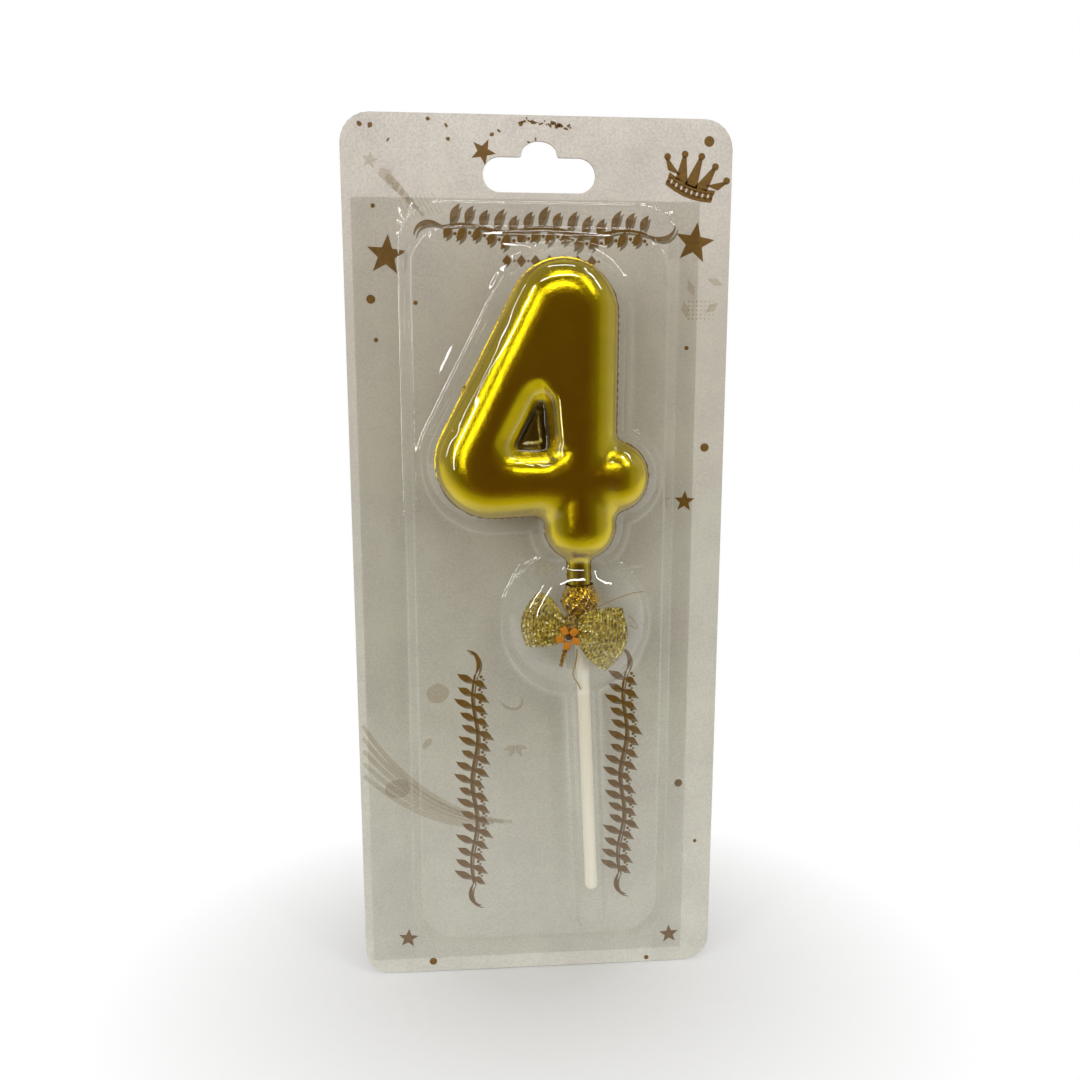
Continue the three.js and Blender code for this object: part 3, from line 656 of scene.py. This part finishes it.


# COLLAR
# A strip of amber metallised film gathered round the neck's end and the stick.
# It is crumpled hard, so its many small facets throw white glints.

# Metallised film: each facet mirrors on its own, under a clear amber lacquer, and
# is painted its own tone between bright gold and dark amber, as a painted
# highlight or painted shade
FACET = 0.95           # mm across
crumpled, tree, place = material_of("amber_metallised_film")
facet = add(tree, "TexVoronoi", {"Vector": place, "Scale": METRE / FACET})
facet_bump = add(tree, "Bump", {
    "Height": facet.outputs["Distance"], "Strength": 0.9, "Distance": 0.0003})
painted_facet_light = add(tree, "Mix", {
    0: add(tree, "SeparateColor", {0: facet.outputs["Color"]}),
    6: "#efc63a", 7: "#7a5410"}, data_type="RGBA")
shown(tree, add(tree, "BsdfPrincipled", {
    "Base Color": painted_facet_light, "Metallic": 0.85, "Roughness": 0.08,
    "Coat Weight": 1.0, "Coat Roughness": 0.05, "Normal": facet_bump}))

COLLAR_TOP, COLLAR_LENGTH = -13.9, 8.8
COLLAR_BULGE = [(0, 3.25), (0.14, 3.4), (0.3, 3.95), (0.46, 4.3), (0.6, 3.8), (0.76, 3.0), (1, 2.15)]
rows, sides = 34, 84
rings = []
bulge = np.interp(np.linspace(0, 1, rows), *zip(*COLLAR_BULGE))
a = around(sides)
for i in range(rows):
    y = COLLAR_TOP - COLLAR_LENGTH * i / (rows - 1)
    fold = (0.2 * np.abs(np.sin(4.5 * a + 0.5 * i / rows * pi))
            + 0.14 * np.sin(13 * a + 0.9 * i) + 0.1 * RNG.uniform(-1, 1, sides))
    level = y + 0.12 * RNG.uniform(-1, 1, sides)
    r = bulge[i] + fold * min(1, 3 * i / rows, 3 * (rows - 1 - i) / rows + 0.2)
    rings.append(np.stack([r * np.cos(a), level, -r * np.sin(a)], -1))
points, faces = tube(rings, closed_ends=False)
collar = piece("collar_film", on_topper(points), faces, crumpled, "topper", smooth=False)
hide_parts("collar")


# RIBBON BOW
# Two loops of open metallic mesh ribbon, folded back on themselves and drawn
# together at the knot. Fine gold ribs run across it and finer warp threads
# along it, so the card shows through. The knot is the same ribbon, gathered.

RIB_PITCH = 0.84       # mm between the ribs
WARP_PITCH = 0.46      # mm between the warp threads
FLECK = 0.55           # mm, the foil's flecks of painted glint and painted shade
RIBBON_Z = 4.2         # mm, the loops' middle in front of the parting plane

mesh_ribbon, tree, place = material_of("metallic_mesh_ribbon")
weave = add(tree, "SeparateXYZ", {0: add(tree, "UVMap", uv_map="weave")})
threads = []
for axis, pitch, share in (("X", RIB_PITCH, 0.46), ("Y", WARP_PITCH, 0.32)):
    steps = add(tree, "Math", {0: weave.outputs[axis], 1: pitch}, operation="DIVIDE")
    phase = add(tree, "Math", {0: steps}, operation="FRACT")
    middle = add(tree, "Math", {0: phase, 1: 0.5}, operation="SUBTRACT")
    away = add(tree, "Math", {0: middle}, operation="ABSOLUTE")
    threads.append(add(tree, "Math", {0: away, 1: share / 2}, operation="LESS_THAN"))
either = add(tree, "Math", {0: threads[0], 1: threads[1]}, operation="MAXIMUM")
# Each foil thread turns as it runs, and this is painted into its colour: painted
# glints here and painted shade there. The real flecks are about 0.2 mm long and are
# drawn coarser to show.
glint = add(tree, "TexVoronoi", {"Vector": place, "Scale": METRE / FLECK})
lurex = add(tree, "Bump", {"Height": glint.outputs["Distance"], "Strength": 0.8, "Distance": 0.0002})
painted_glint_and_shade = add(tree, "ValToRGB", {0: add(tree, "SeparateColor", {0: glint.outputs["Color"]})})
stops(painted_glint_and_shade, [(0, "#6b5714"), (0.35, "#a8902e"), (0.66, "#d6be42"), (0.84, "#f4e470"), (1, "#fffac0")])
shown(tree, add(tree, "BsdfPrincipled", {
    "Base Color": painted_glint_and_shade, "Metallic": 0.6, "Roughness": 0.26, "Alpha": either, "Normal": lurex}))


def along(points, shares):
    """Points at even shares of a smooth line through a few given ones."""
    p = np.asarray(points, float)
    t = np.linspace(0, len(p) - 1, 200)
    i = np.clip(t.astype(int), 0, len(p) - 2)
    f = (t - i)[:, None]
    q = np.concatenate([[2 * p[0] - p[1]], p, [2 * p[-1] - p[-2]]])
    a, b, c, d = q[i], q[i + 1], q[i + 2], q[i + 3]
    line = 0.5 * (2 * b + (c - a) * f + (2 * a - 5 * b + 4 * c - d) * f ** 2
                  + (3 * b - a - 3 * c + d) * f ** 3)
    gone = np.concatenate([[0], np.cumsum(np.linalg.norm(np.diff(line, axis=0), axis=1))])
    want = np.asarray(shares) * gone[-1]
    return np.stack([np.interp(want, gone, line[:, k]) for k in range(p.shape[1])], -1)


def net_faces(rows, count):
    """Quads between neighbouring rows of a sheet's points."""
    return [(i * count + k, i * count + k + 1, (i + 1) * count + k + 1, (i + 1) * count + k)
            for i in range(rows - 1) for k in range(count - 1)]


def ribbon_loop(name, node, top, bottom, swell, pleats):
    """A loop from its top and bottom edges, from the knot out to the fold."""
    across, out = 40, 26
    v = np.linspace(0, 1, across)
    u = np.linspace(0, 1, out)
    upper, lower = along(top, u), along(bottom, u)
    rows = []
    for layer, order in [(1, range(out)), (-1, range(out - 2, -1, -1))]:
        for i in order:
            row = upper[i] + (lower[i] - upper[i]) * v[:, None]
            row = row + np.outer(np.sin(pi * v) * u[i] ** 2, swell)
            gather = pleats * (1 - u[i]) ** 1.5 * np.cos(2 * pi * 3.5 * v + layer)
            puff = 1.05 * sqrt(max(1 - (2 * u[i] - 1) ** 4, 0)) * (0.75 + 0.25 * np.sin(pi * v))
            rows.append(np.column_stack([row, RIBBON_Z + layer * puff + gather * 0.6]))
    grid = np.array(rows)
    n, m = grid.shape[:2]
    made = piece(name, on_topper(grid.reshape(-1, 3)), net_faces(n, m), mesh_ribbon, "topper")
    ribbon_width = max(np.linalg.norm(np.diff(grid[out - 1], axis=0), axis=1).sum(), 1)
    length = np.concatenate([[0], np.cumsum(np.linalg.norm(
        np.diff(grid[:, m // 2], axis=0), axis=1))])
    uv = made.data.uv_layers.new(name="weave")
    corner = np.zeros(len(made.data.loops), int)
    made.data.loops.foreach_get("vertex_index", corner)
    flat_uv = np.stack([length[corner // m], (corner % m) / (m - 1) * ribbon_width], -1)
    uv.data.foreach_set("uv", flat_uv.ravel())
    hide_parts(node)


ribbon_loop(
    "ribbon_loop_left", "bow_loop_left",
    [(-3.6, -21.4), (-5.2, -18.6), (-7.2, -15.6), (-9.9, -14.1)],
    [(-3.6, -24.2), (-5.4, -26.2), (-8.8, -26.9), (-13.2, -26.8)],
    (-2.4, 0.3), 0.5)
ribbon_loop(
    "ribbon_loop_right", "bow_loop_right",
    [(-1.8, -21.6), (1.6, -19.6), (5, -19), (9.2, -19.1)],
    [(-2, -24.6), (-0.4, -28.6), (2, -31.6), (4.8, -33.8)],
    (2.9, -1.3), 0.6)

# Knot: a short band of the same ribbon, gathered tight. Its threads are painted
# as gold and brown specks with little shine: painted glints, and painted shade in
# the gathers
gathered_ribbon = speckled("gathered_ribbon_knot", ("#55452f", "#a88d3e"), 0.6,
                           {"Metallic": 0.3, "Roughness": 0.4}, 4, (0.42, 0.58, 1), (0.9, 0.0005))
KNOT_TOP, KNOT_LENGTH = -20.1, 5.6
KNOT_X, KNOT_Z = -2.8, 4.3
KNOT_HALF_WIDTH, KNOT_HALF_DEPTH = 1.75, 1.25
rings = []
a = around(36)
for share in np.arange(15) / 14:
    swell = sin(pi * (0.12 + 0.76 * share)) ** 0.5
    r = 1 + 0.07 * np.cos(9 * a + 2 * share)
    rings.append(np.stack([KNOT_X + KNOT_HALF_WIDTH * swell * r * np.cos(a),
                           np.full(len(a), KNOT_TOP - KNOT_LENGTH * share),
                           KNOT_Z - KNOT_HALF_DEPTH * swell * r * np.sin(a)], -1))
points, faces = tube(rings)
knot = piece("knot_gather", on_topper(points), faces, gathered_ribbon, "topper")
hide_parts("bow_knot")

# Tie: a turn of twisted wire and thread round the stick, behind the knot. The
# wire's brown lacquer and the gold foil wound on it change over in hard specks.
twisted = speckled("gold_and_brown_twist", ("#5a3f22", "#b98a2c"), 0.55,
                   {"Metallic": 0.35, "Roughness": 0.4}, 2, (0.46, 0.54, 1))
TIE_TOP, TIE_HEIGHT, TIE_BORE, TIE_RADIUS, TIE_SWELL = -23.7, 1.4, 1.85, 2.35, 0.33
section = [(TIE_TOP - TIE_HEIGHT * share,
            TIE_RADIUS + TIE_SWELL * sqrt(max(1 - (2 * share - 1) ** 2, 0.02)))
           for share in np.arange(11) / 10]
section += [(TIE_TOP - TIE_HEIGHT, TIE_BORE), (TIE_TOP, TIE_BORE), section[0]]
points, faces = tube(turned(section, 40), closed_ends=False)
tie = piece("tie_turn", on_topper(points), faces, twisted, "topper")
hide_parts("bow_tie")


# FLOWER
# Five soft orange tiles of moulded vinyl round a small brown seed, glued to
# the front of the knot.

# Vinyl has a soft sheen over slightly uneven colour; the seed is dull and dark
vinyl = speckled("orange_vinyl", ("#d28a1c", "#b8700f"), 1.1, {"Roughness": 0.38, "IOR": 1.53}, 3,
                 bump=(0.3, 0.0001))
seed_brown = speckled("brown_seed_bead", ("#4b3c2a", "#2f2418"), 0.3, {"Roughness": 0.5})

FLOWER = (-3.7, -24.8, 6.3)     # mm, its middle in the topper's frame
PETAL_RING = 1.85               # mm, from the flower's middle to a tile's
TILE_LENGTH, TILE_WIDTH, TILE_THICK, SEED_WIDTH = 1.95, 1.62, 0.8, 1.0


def tile(length, width, thick, corner, sides=28, exponent=4.0):
    """Rings of a small soft-edged tile, lying flat with its middle at 0."""
    a = around(sides)
    c, s = np.cos(a), np.sin(a)
    round_x = np.sign(c) * np.abs(c) ** (2 / exponent)
    round_y = np.sign(s) * np.abs(s) ** (2 / exponent)
    rings = []
    for level, draw in [(-0.5, 1), (-0.5, 0.3), (-0.3, 0), (0.2, 0), (0.42, 0.35), (0.5, 1),
                        (0.52, 2.2)]:
        x = round_x * (length / 2 - corner * draw)
        y = round_y * (width / 2 - corner * draw)
        rings.append(np.stack([x, y, np.full(sides, level * thick)], -1))
    return rings


for i in range(5):
    angle = radians(43 + 72 * i)
    points, faces = tube(tile(TILE_LENGTH, TILE_WIDTH, TILE_THICK, 0.22))
    c, s = cos(angle), sin(angle)
    x = points[:, 0] + PETAL_RING
    points = np.stack([x * c - points[:, 1] * s, x * s + points[:, 1] * c, points[:, 2]], -1)
    petal = piece(f"petal_tile_{i + 1}", on_topper(points + FLOWER), faces, vinyl, "topper")
    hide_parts(f"flower_petal_{i + 1}")
points, faces = tube(tile(SEED_WIDTH, SEED_WIDTH, TILE_THICK, 0.18, exponent=2.0))
seed = piece("flower_seed", on_topper(points + FLOWER), faces, seed_brown, "topper")
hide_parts("flower_centre")


# TWISTED END, CLEAR END AND LOOSE THREADS
# The tie's two strands hang twisted below the flower, a clear tape end shows
# behind them, and three fine gold threads have come off the ribbon's edges.

TAIL_START, TAIL_LENGTH, TAIL_TURNS = (-3.7, -26.2, 4.3), 6, 2.6
TAIL_LEAN = radians(18)
down = np.array([-sin(TAIL_LEAN), -cos(TAIL_LEAN), 0])
side = np.array([-down[1], down[0], 0])
front = np.array([0, 0, 1])
points, faces = [], []
for strand in (0, pi):
    rings = []
    for share in np.arange(49) / 48:
        turn = share * 2 * pi * TAIL_TURNS + strand
        arm, thick = 0.34 - 0.1 * share, 0.37 - 0.13 * share
        middle = (TAIL_START + down * TAIL_LENGTH * share
                  + arm * (side * cos(turn) + front * sin(turn)))
        rings.append([middle + thick * (side * cos(t) + front * sin(t))
                      for t in around(12)])
    more, quads = tube(rings)
    faces += [[k + len(points) for k in f] for f in quads]
    points += more.tolist()
tail = piece("twisted_strands", on_topper(points), faces, twisted, "topper")
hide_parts("twisted_tail")

# The tape is thin, clear and glossy, a little hazy with age; its end is rounded
tape = speckled("clear_tape", ("#b9bab0", "#a5a69c"), 2, {"Roughness": 0.2, "Alpha": 0.45})
TAPE_X, TAPE_TOP, TAPE_LENGTH, TAPE_HALF_WIDTH = -2.85, -28.1, 6, 1.05
a, b = np.meshgrid(np.linspace(-1, 1, 9), np.linspace(0, 1, 13))
grid = np.stack([TAPE_X + TAPE_HALF_WIDTH * a * (1 - 0.25 * b ** 6),
                 TAPE_TOP - TAPE_LENGTH * b + 0.5 * a ** 2 * b ** 8, 0.15 + 0.25 * a ** 2 * b], -1)
tape_end = piece("clear_tape_end", on_topper(grid), net_faces(*a.shape), tape, "topper")
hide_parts("clear_tie_end")

# Foil thread, with painted shade: darker in patches, for where it turns away from the light
lurex_thread = speckled("gold_lurex_thread", ("#b8952a", "#8d6f1c"), 0.4,
                        {"Metallic": 0.6, "Roughness": 0.35})

# Routes given in the topper's frame, and each thread's thickness
THREADS = [
    ([(-1.6, -28.1, 4.2), (-1.7, -30, 4), (-2.1, -32, 3.7), (-2.6, -34, 3), (-2.3, -35.6, 2.4),
      (-1.4, -37.2, 2), (-0.9, -38.6, 1.75)], 0.15),
    ([(3.6, -18.6, 4), (6, -17.7, 3.6), (9, -17.1, 2.2), (12.6, -17, -0.9), (15.6, -17.2, -2.4)], 0.09),
    ([(10.4, -21, 4), (11.5, -22, 3.9), (12.5, -23.6, 3.6), (12.6, -24.4, 3.4), (12.1, -24.4, 3.2),
      (10.9, -23.6, 3.2)], 0.08),
]
for i, (route, radius) in enumerate(THREADS):
    line = along(route, np.linspace(0, 1, 40))
    ahead = np.gradient(line, axis=0)
    ahead /= np.linalg.norm(ahead, axis=1)[:, None]
    one = np.cross(ahead, [0.1, 0.2, 1])
    one /= np.linalg.norm(one, axis=1)[:, None]
    two = np.cross(ahead, one)
    rings = [[c + radius * (p * cos(t) + q * sin(t))
              for t in around(8)] for c, p, q in zip(line, one, two)]
    points, faces = tube(rings)
    thread = piece(f"lurex_end_{i + 1}", on_topper(points), faces, lurex_thread, "topper")
    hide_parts(f"loose_thread_{i + 1}")


# BLISTER
# One clear PVC film, drawn by vacuum over a mould: a flange sealed to the
# card, a shallow tray, a pocket that follows the figure, a dome over the bow
# and a channel for the stick. The film webs, ripples and creases as it cools.

FILM_NET = 0.4         # mm, the film's mesh
FLANGE = (-41.5, 36.3, -188.2, -5.2)       # mm: left, right, foot and top
TRAY_FOOT = (-30.9, 31.5, -184.1, -6.1)
TRAY_ROOF = (-28.9, 28.3, -179.1, -12.1)
TRAY_CORNER = 9
FLANGE_LEVEL = CARD_FRONT + 0.25           # levels are above the card's back
TRAY_TOP, POCKET_FOOT, POCKET_TOP = 6.8, 5.0, 14.5
SADDLE_TOP, CHANNEL_TOP = 11.8, 9.9
FILM_LIMIT = 15.1      # no crease stands higher
FOOT_SLOPE = 2.2       # how steeply a pocket's wall runs on below its foot
POCKET_MARGIN = 2.8    # mm, the pocket outside the figure's outline
POCKET_ROUND, DOME_ROUND = 8.5, 9          # mm, the shoulders' roundovers
DOME_X, DOME_Y, DOME_RADIUS = -1.2, -22.9, 16.8
SADDLE = (-6, 6, NECK_END, NECK_ROOT)      # the bridge between dome and pocket
CHANNEL = (-3.8, 3.2, -100, DOME_Y)        # over the stick, down to the tray's foot
POCKET_BLEND, TRAY_BLEND = 2.5, 6          # mm, how softly neighbours run together
COUNTER_SINK, SINK_REACH = 3.6, 1.1        # mm, how far the film is drawn into the counter
FILM_SOFTNESS = 0.28   # mm, the film's stiffness rounds off anything smaller


def box_depth(p, box, radius):
    """How far points lie inside a rectangle with rounded corners."""
    left, right, low, high = box
    q = np.abs(p - [(left + right) / 2, (low + high) / 2])
    q = q - [(right - left) / 2 - radius, (high - low) / 2 - radius]
    return radius - np.linalg.norm(np.maximum(q, 0), axis=1) - np.minimum(q.max(1), 0)


def shoulder(depth, top, roundover):
    """A pocket's level by depth inside its foot, with a rounded shoulder."""
    share = 1 - np.clip(depth / roundover, 0, 1)
    rounded = (top - POCKET_FOOT) * np.sqrt(np.maximum(1 - share ** 2, 0))
    return POCKET_FOOT + np.where(depth > 0, rounded, FOOT_SLOPE * depth)


def blurred(field, reach):
    """A height field smoothed over a reach, counted in mesh steps."""
    n = int(3 * reach) + 1
    kernel = np.exp(-0.5 * (np.arange(-n, n + 1) / reach) ** 2)
    kernel /= kernel.sum()
    for axis in (0, 1):
        padded = np.pad(field, [(n, n) if k == axis else (0, 0) for k in (0, 1)], mode="edge")
        field = sum(w * np.take(padded, range(j, j + field.shape[axis]), axis=axis)
                    for j, w in enumerate(kernel))
    return field


xs = np.linspace(FLANGE[0], FLANGE[1], int((FLANGE[1] - FLANGE[0]) / FILM_NET))
ys = np.linspace(FLANGE[2], FLANGE[3], int((FLANGE[3] - FLANGE[2]) / FILM_NET))
gx, gy = np.meshgrid(xs, ys)
flat = np.stack([gx.ravel(), gy.ravel()], -1)
c, s = cos(LEAN), sin(LEAN)
own = (flat - [TOPPER_X, TOPPER_Y]) @ [[c, -s], [s, c]]
flat_x, flat_y, own_x, own_y = *flat.T, *own.T

foot, roof = box_depth(flat, TRAY_FOOT, TRAY_CORNER), box_depth(flat, TRAY_ROOF, TRAY_CORNER)
climb = np.where(roof >= 0, 1, np.where(foot <= 0, 0, foot / np.maximum(foot - roof, 1e-6)))
film = FLANGE_LEVEL + climb * (TRAY_TOP - FLANGE_LEVEL)
pockets = [shoulder(depth_in(own) + POCKET_MARGIN, POCKET_TOP, POCKET_ROUND)
           for depth_in in (head_depth, nub_depth, lobe_depth)]
pockets += [
    shoulder(DOME_RADIUS - np.hypot(own_x - DOME_X, own_y - DOME_Y), POCKET_TOP, DOME_ROUND),
    shoulder(box_depth(own, SADDLE, 4.5), SADDLE_TOP, 3.5),
    shoulder(box_depth(own, CHANNEL, 3.2), CHANNEL_TOP, 2.6),
]
raised = pockets[0]
for pocket in pockets[1:]:
    raised = soft_max(raised, pocket, POCKET_BLEND)
within = np.clip(roof / 2 + 1, 0, 1)
film = np.where(within > 0, film + within * (soft_max(film, raised, TRAY_BLEND) - film), film)
film -= COUNTER_SINK * np.exp(np.minimum(well_depth(own), 0) / SINK_REACH)

# Ripples above the figure, beads along the tray's top edge, and webs that fan
# out of its upper corners
above = np.exp(-((flat_y + 14) / 5) ** 2) * np.clip(1 - np.abs(flat_x - 1) / 26, 0, 1)
film += 0.22 * above * np.sin(flat_y * 2.6 + 0.005 * flat_x ** 2)
for x, y in [(-27.5, -11), (27, -11.5)]:
    arm = np.hypot(flat_x - x, flat_y - y)
    bearing = np.arctan2(flat_y - y, flat_x - x)
    film += 0.45 * np.exp(-(arm / 4.2) ** 2) * np.sin(9 * bearing + 1.4 * arm)
beads = np.exp(-((flat_y - TRAY_ROOF[3] - 2.6) / 1) ** 2) * (np.abs(flat_x) < 27)
film += 0.2 * beads * np.sin(flat_x * 3.6) * np.sin(flat_x * 1.3 + 1)


def crease(x, y, heading, length, width, height):
    """A small ridge or furrow in the film, in the topper's own frame."""
    near = np.flatnonzero(np.hypot(own_x - x, own_y - y) < 2 * length)
    c, s = cos(heading), sin(heading)
    u = (own_x[near] - x) * c + (own_y[near] - y) * s
    v = (own_y[near] - y) * c - (own_x[near] - x) * s
    film[near] += height * np.exp(-(u / length) ** 2 - (v / width) ** 2)


# Creases where the film is drawn hardest: both shoulders of the dome, the
# counter's foot, the nub, the heel and the crown. Each place has its middle, its
# spread, how many creases it holds, and how strong they are in millimetres.
for x, y, spread, count, strength in [
        (-12, -10.5, 3.4, 22, 0.26), (9, -11.5, 4.2, 22, 0.26), (-10, 17.6, 2.6, 12, 0.2),
        (-5, 17.6, 1.4, 5, 0.2), (10, 15.5, 3, 14, 0.24), (-27, 23, 1.6, 5, 0.16),
        (4, 57.5, 2.4, 6, 0.14), (14, 20.5, 2.4, 6, 0.2)]:
    for _ in range(count):
        crease(x + RNG.normal(0, spread * 0.6), y + RNG.normal(0, spread * 0.6),
               RNG.uniform(0, pi), RNG.uniform(0.9, 2), RNG.uniform(0.4, 0.65),
               2 * strength * RNG.uniform(-1, 1))

# Long creases along the flanks, from one end to the other, with their width
# and height
for x0, y0, x1, y1, width, height in [
        (-13.6, 57.7, -17.5, 51.6, 0.55, 0.4), (-12, 57.7, -16.8, 49.2, 0.55, 0.3),
        (-23.1, 45.1, -30.9, 31.1, 0.6, 0.3), (-8.8, 54.6, -13.9, 46.4, 0.7, 0.25),
        (-16, 39.4, -24.2, 26.3, 0.7, 0.25), (12.5, 55.5, 13.5, 51.3, 0.5, 0.35),
        (7.9, 58.1, 9.5, 54.6, 0.5, 0.3), (13.6, 24.9, 17.2, 18.7, 0.8, 0.4),
        (-12.8, 18.6, -8, 17.9, 0.6, 0.5)]:
    crease((x0 + x1) / 2, (y0 + y1) / 2, atan2(y1 - y0, x1 - x0),
           0.4 * hypot(x1 - x0, y1 - y0), width, height)

film = blurred(film.reshape(gx.shape), FILM_SOFTNESS / FILM_NET)
film = np.maximum(-soft_max(-film, -FILM_LIMIT, 0.6), CARD_FRONT + 0.2)

# Clear PVC: nothing shows but its mirror gloss, which grows where the film is
# seen at a slant. Both of its faces reflect, and the slow waves come from drawing.
DRAWN_WAVE = 9         # mm from one wave to the next
clear, tree, place = material_of("clear_pvc_film")
drawn = add(tree, "TexNoise", {"Vector": place, "Scale": METRE / DRAWN_WAVE, "Detail": 2})
drawn_bump = add(tree, "Bump", {"Height": drawn, "Strength": 0.35, "Distance": 0.0006})
gloss = add(tree, "BsdfGlossy", {"Color": (1, 1, 1, 1), "Roughness": 0.03, "Normal": drawn_bump})
see_through = add(tree, "BsdfTransparent", {"Color": "#f6f6f4"})
slant = add(tree, "LayerWeight", {"Blend": 0.5, "Normal": drawn_bump})
steep = add(tree, "Math", {0: slant.outputs["Facing"], 1: 5}, operation="POWER")
both_faces = add(tree, "MapRange", {"Value": steep, "To Min": 0.08, "To Max": 0.65})
shown(tree, add(tree, "MixShader", {0: both_faces, 1: see_through, 2: gloss}))

blister = piece("blister_film", np.stack([gx, gy, film], -1), net_faces(*film.shape), clear,
                "blister")
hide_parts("blister")


# STUDIO
# A plain pale floor and backdrop in one sweep, strip lamps that the gold and the
# film mirror, soft fill lamps that they don't, a dim room, and the camera where
# the photograph was taken from.

# Matt white paper. Far from the foot it shows plain white, and its front end
# fades out, so that no edge is mirrored in the film.
PAPER_TOOTH = 3        # mm
sweep_white, tree, place = material_of("white_paper_sweep")
tooth = add(tree, "TexNoise", {"Vector": place, "Scale": METRE / PAPER_TOOTH})
sweep_tone = add(tree, "Mix", {0: tooth, 6: "#d4d4d4", 7: "#d0d0d0"}, data_type="RGBA")
paper = add(tree, "BsdfDiffuse", {"Color": sweep_tone})
glow = add(tree, "Emission", {"Color": (1, 1, 1, 1), "Strength": 1.0})
rays = add(tree, "LightPath")
seen = rays.outputs["Is Camera Ray"]
for ray in ("Is Glossy Ray", "Is Transmission Ray"):
    seen = add(tree, "Math", {0: seen, 1: rays.outputs[ray]}, operation="MAXIMUM")
near_foot = add(tree, "Mapping", {"Vector": place, "Scale": (0.8, 1, 1)})
from_foot = add(tree, "VectorMath", {0: near_foot}, operation="LENGTH")
far_off = add(tree, "MapRange", {"Value": from_foot, "From Min": 0.01, "From Max": 0.085})
half_seen = add(tree, "Math", {0: seen, 1: far_off}, operation="MULTIPLY")
sheet = add(tree, "MixShader", {0: half_seen, 1: paper, 2: glow})
front_end = add(tree, "MapRange", {
    "Value": add(tree, "SeparateXYZ", {0: place}).outputs["Y"], "From Min": -0.2, "From Max": -0.045})
shown(tree, add(tree, "MixShader", {0: front_end, 1: add(tree, "BsdfTransparent"), 2: sheet}))

FLOOR_Z = solid_low.z - 0.0002
path = [(-0.2, 0)]
path += [(0.35 + 0.35 * sin(t), 0.35 - 0.35 * cos(t))
         for t in np.linspace(0, pi / 2, 16)]
path += [(0.7, 1.8)]
points = [(x, y, z) for y, z in path for x in (-2, 2)]
faces = [(2 * i, 2 * i + 1, 2 * i + 3, 2 * i + 2) for i in range(len(path) - 1)]
sweep_mesh = bpy.data.meshes.new("sweep")
sweep_mesh.from_pydata(points, [], faces)
sweep_mesh.materials.append(sweep_white)
sweep_mesh.polygons.foreach_set("use_smooth", [True] * len(faces))
sweep = bpy.data.objects.new("sweep", sweep_mesh)
sweep.location.z = FLOOR_Z
bpy.context.scene.collection.objects.link(sweep)

world = bpy.data.worlds.new("studio")
bpy.context.scene.world = world
world.use_nodes = True
tree = world.node_tree
tree.nodes.clear()
add(tree, "OutputWorld")
heading = add(tree, "TexCoord").outputs["Generated"]
dark_patch = add(tree, "Mapping", {"Vector": heading, "Location": (0, 0, 0.1), "Scale": (2.4, 0, 1.9)})
away = add(tree, "VectorMath", {0: dark_patch}, operation="LENGTH")
room = add(tree, "ValToRGB", {0: add(tree, "MapRange", {"Value": away, "From Max": 2.5})})
# What the gold mirrors in front: a dark patch with a warm rim, then the paler room
stops(room, [
    (0, (0.12, 0.067, 0.012)), (0.3, (0.135, 0.073, 0.012)), (0.38, (0.19, 0.108, 0.022)),
    (0.48, (0.15, 0.122, 0.075)), (0.65, (0.22, 0.21, 0.18)), (1, (0.45, 0.44, 0.41))])
wall = add(tree, "MapRange", {
    "Value": add(tree, "SeparateXYZ", {0: heading}).outputs["X"],
    "From Min": 0.7, "From Max": 0.73, "To Max": 0.12})
lit_room = add(tree, "Mix", {0: 1.0, 6: room, 7: wall}, data_type="RGBA", blend_type="ADD")
sky = add(tree, "Mix", {
    0: add(tree, "LightPath").outputs["Is Camera Ray"], 6: lit_room, 7: "#ffffff"}, data_type="RGBA")
shown(tree, add(tree, "Background", {"Color": sky, "Strength": 1}))


def aimed(direction):
    """The turn that points a lamp or camera along a direction."""
    return Vector(direction).to_track_quat("-Z", "Y").to_euler()


MIDDLE = Vector((0, -0.01, -0.08))


def lamp(name, direction, distance, size, power, mirrored=True):
    """A rectangular lamp that faces the pack; a fill lamp isn't mirrored."""
    light = bpy.data.lights.new(name, "AREA")
    light.shape = "RECTANGLE"
    light.size, light.size_y = size
    light.energy = power
    made = bpy.data.objects.new(name, light)
    made.location = MIDDLE + Vector(direction).normalized() * distance
    made.rotation_euler = aimed(-Vector(direction))
    made.visible_glossy = mirrored
    bpy.context.scene.collection.objects.link(made)


lamp("tube_overhead_front", (0, -0.85, 0.53), 1.1, (0.5, 0.06), 1.4)
lamp("tube_overhead", (0, -0.47, 0.88), 1.1, (0.5, 0.06), 1.4)
lamp("tube_left_near", (-0.4, -0.89, 0.21), 1.1, (0.06, 0.7), 1.6)
lamp("tube_left_far", (-0.69, -0.62, 0.37), 1.1, (0.06, 0.7), 1.6)
lamp("tube_right", (0.5, -0.55, 0.67), 1.1, (0.06, 0.5), 1.4)
lamp("fill_left", (-0.75, -0.6, 0.25), 1.3, (0.9, 0.9), 5.2, mirrored=False)
lamp("fill_right", (0.75, -0.6, 0.25), 1.3, (0.9, 0.9), 5.2, mirrored=False)
lamp("fill_top", (0, -0.1, 1), 1.2, (1.2, 0.8), 3.6, mirrored=False)

camera_data = bpy.data.cameras.new("camera")
camera_data.lens = 30
camera_data.sensor_width = 36
camera_data.clip_start = 0.01
camera = bpy.data.objects.new("camera", camera_data)
camera.location = (-0.01553, -0.20973, -0.04834)
camera.rotation_euler = aimed((0.074, 0.985, -0.158))
bpy.context.scene.collection.objects.link(camera)
bpy.context.scene.camera = camera
bpy.context.scene.view_settings.view_transform = "Standard"
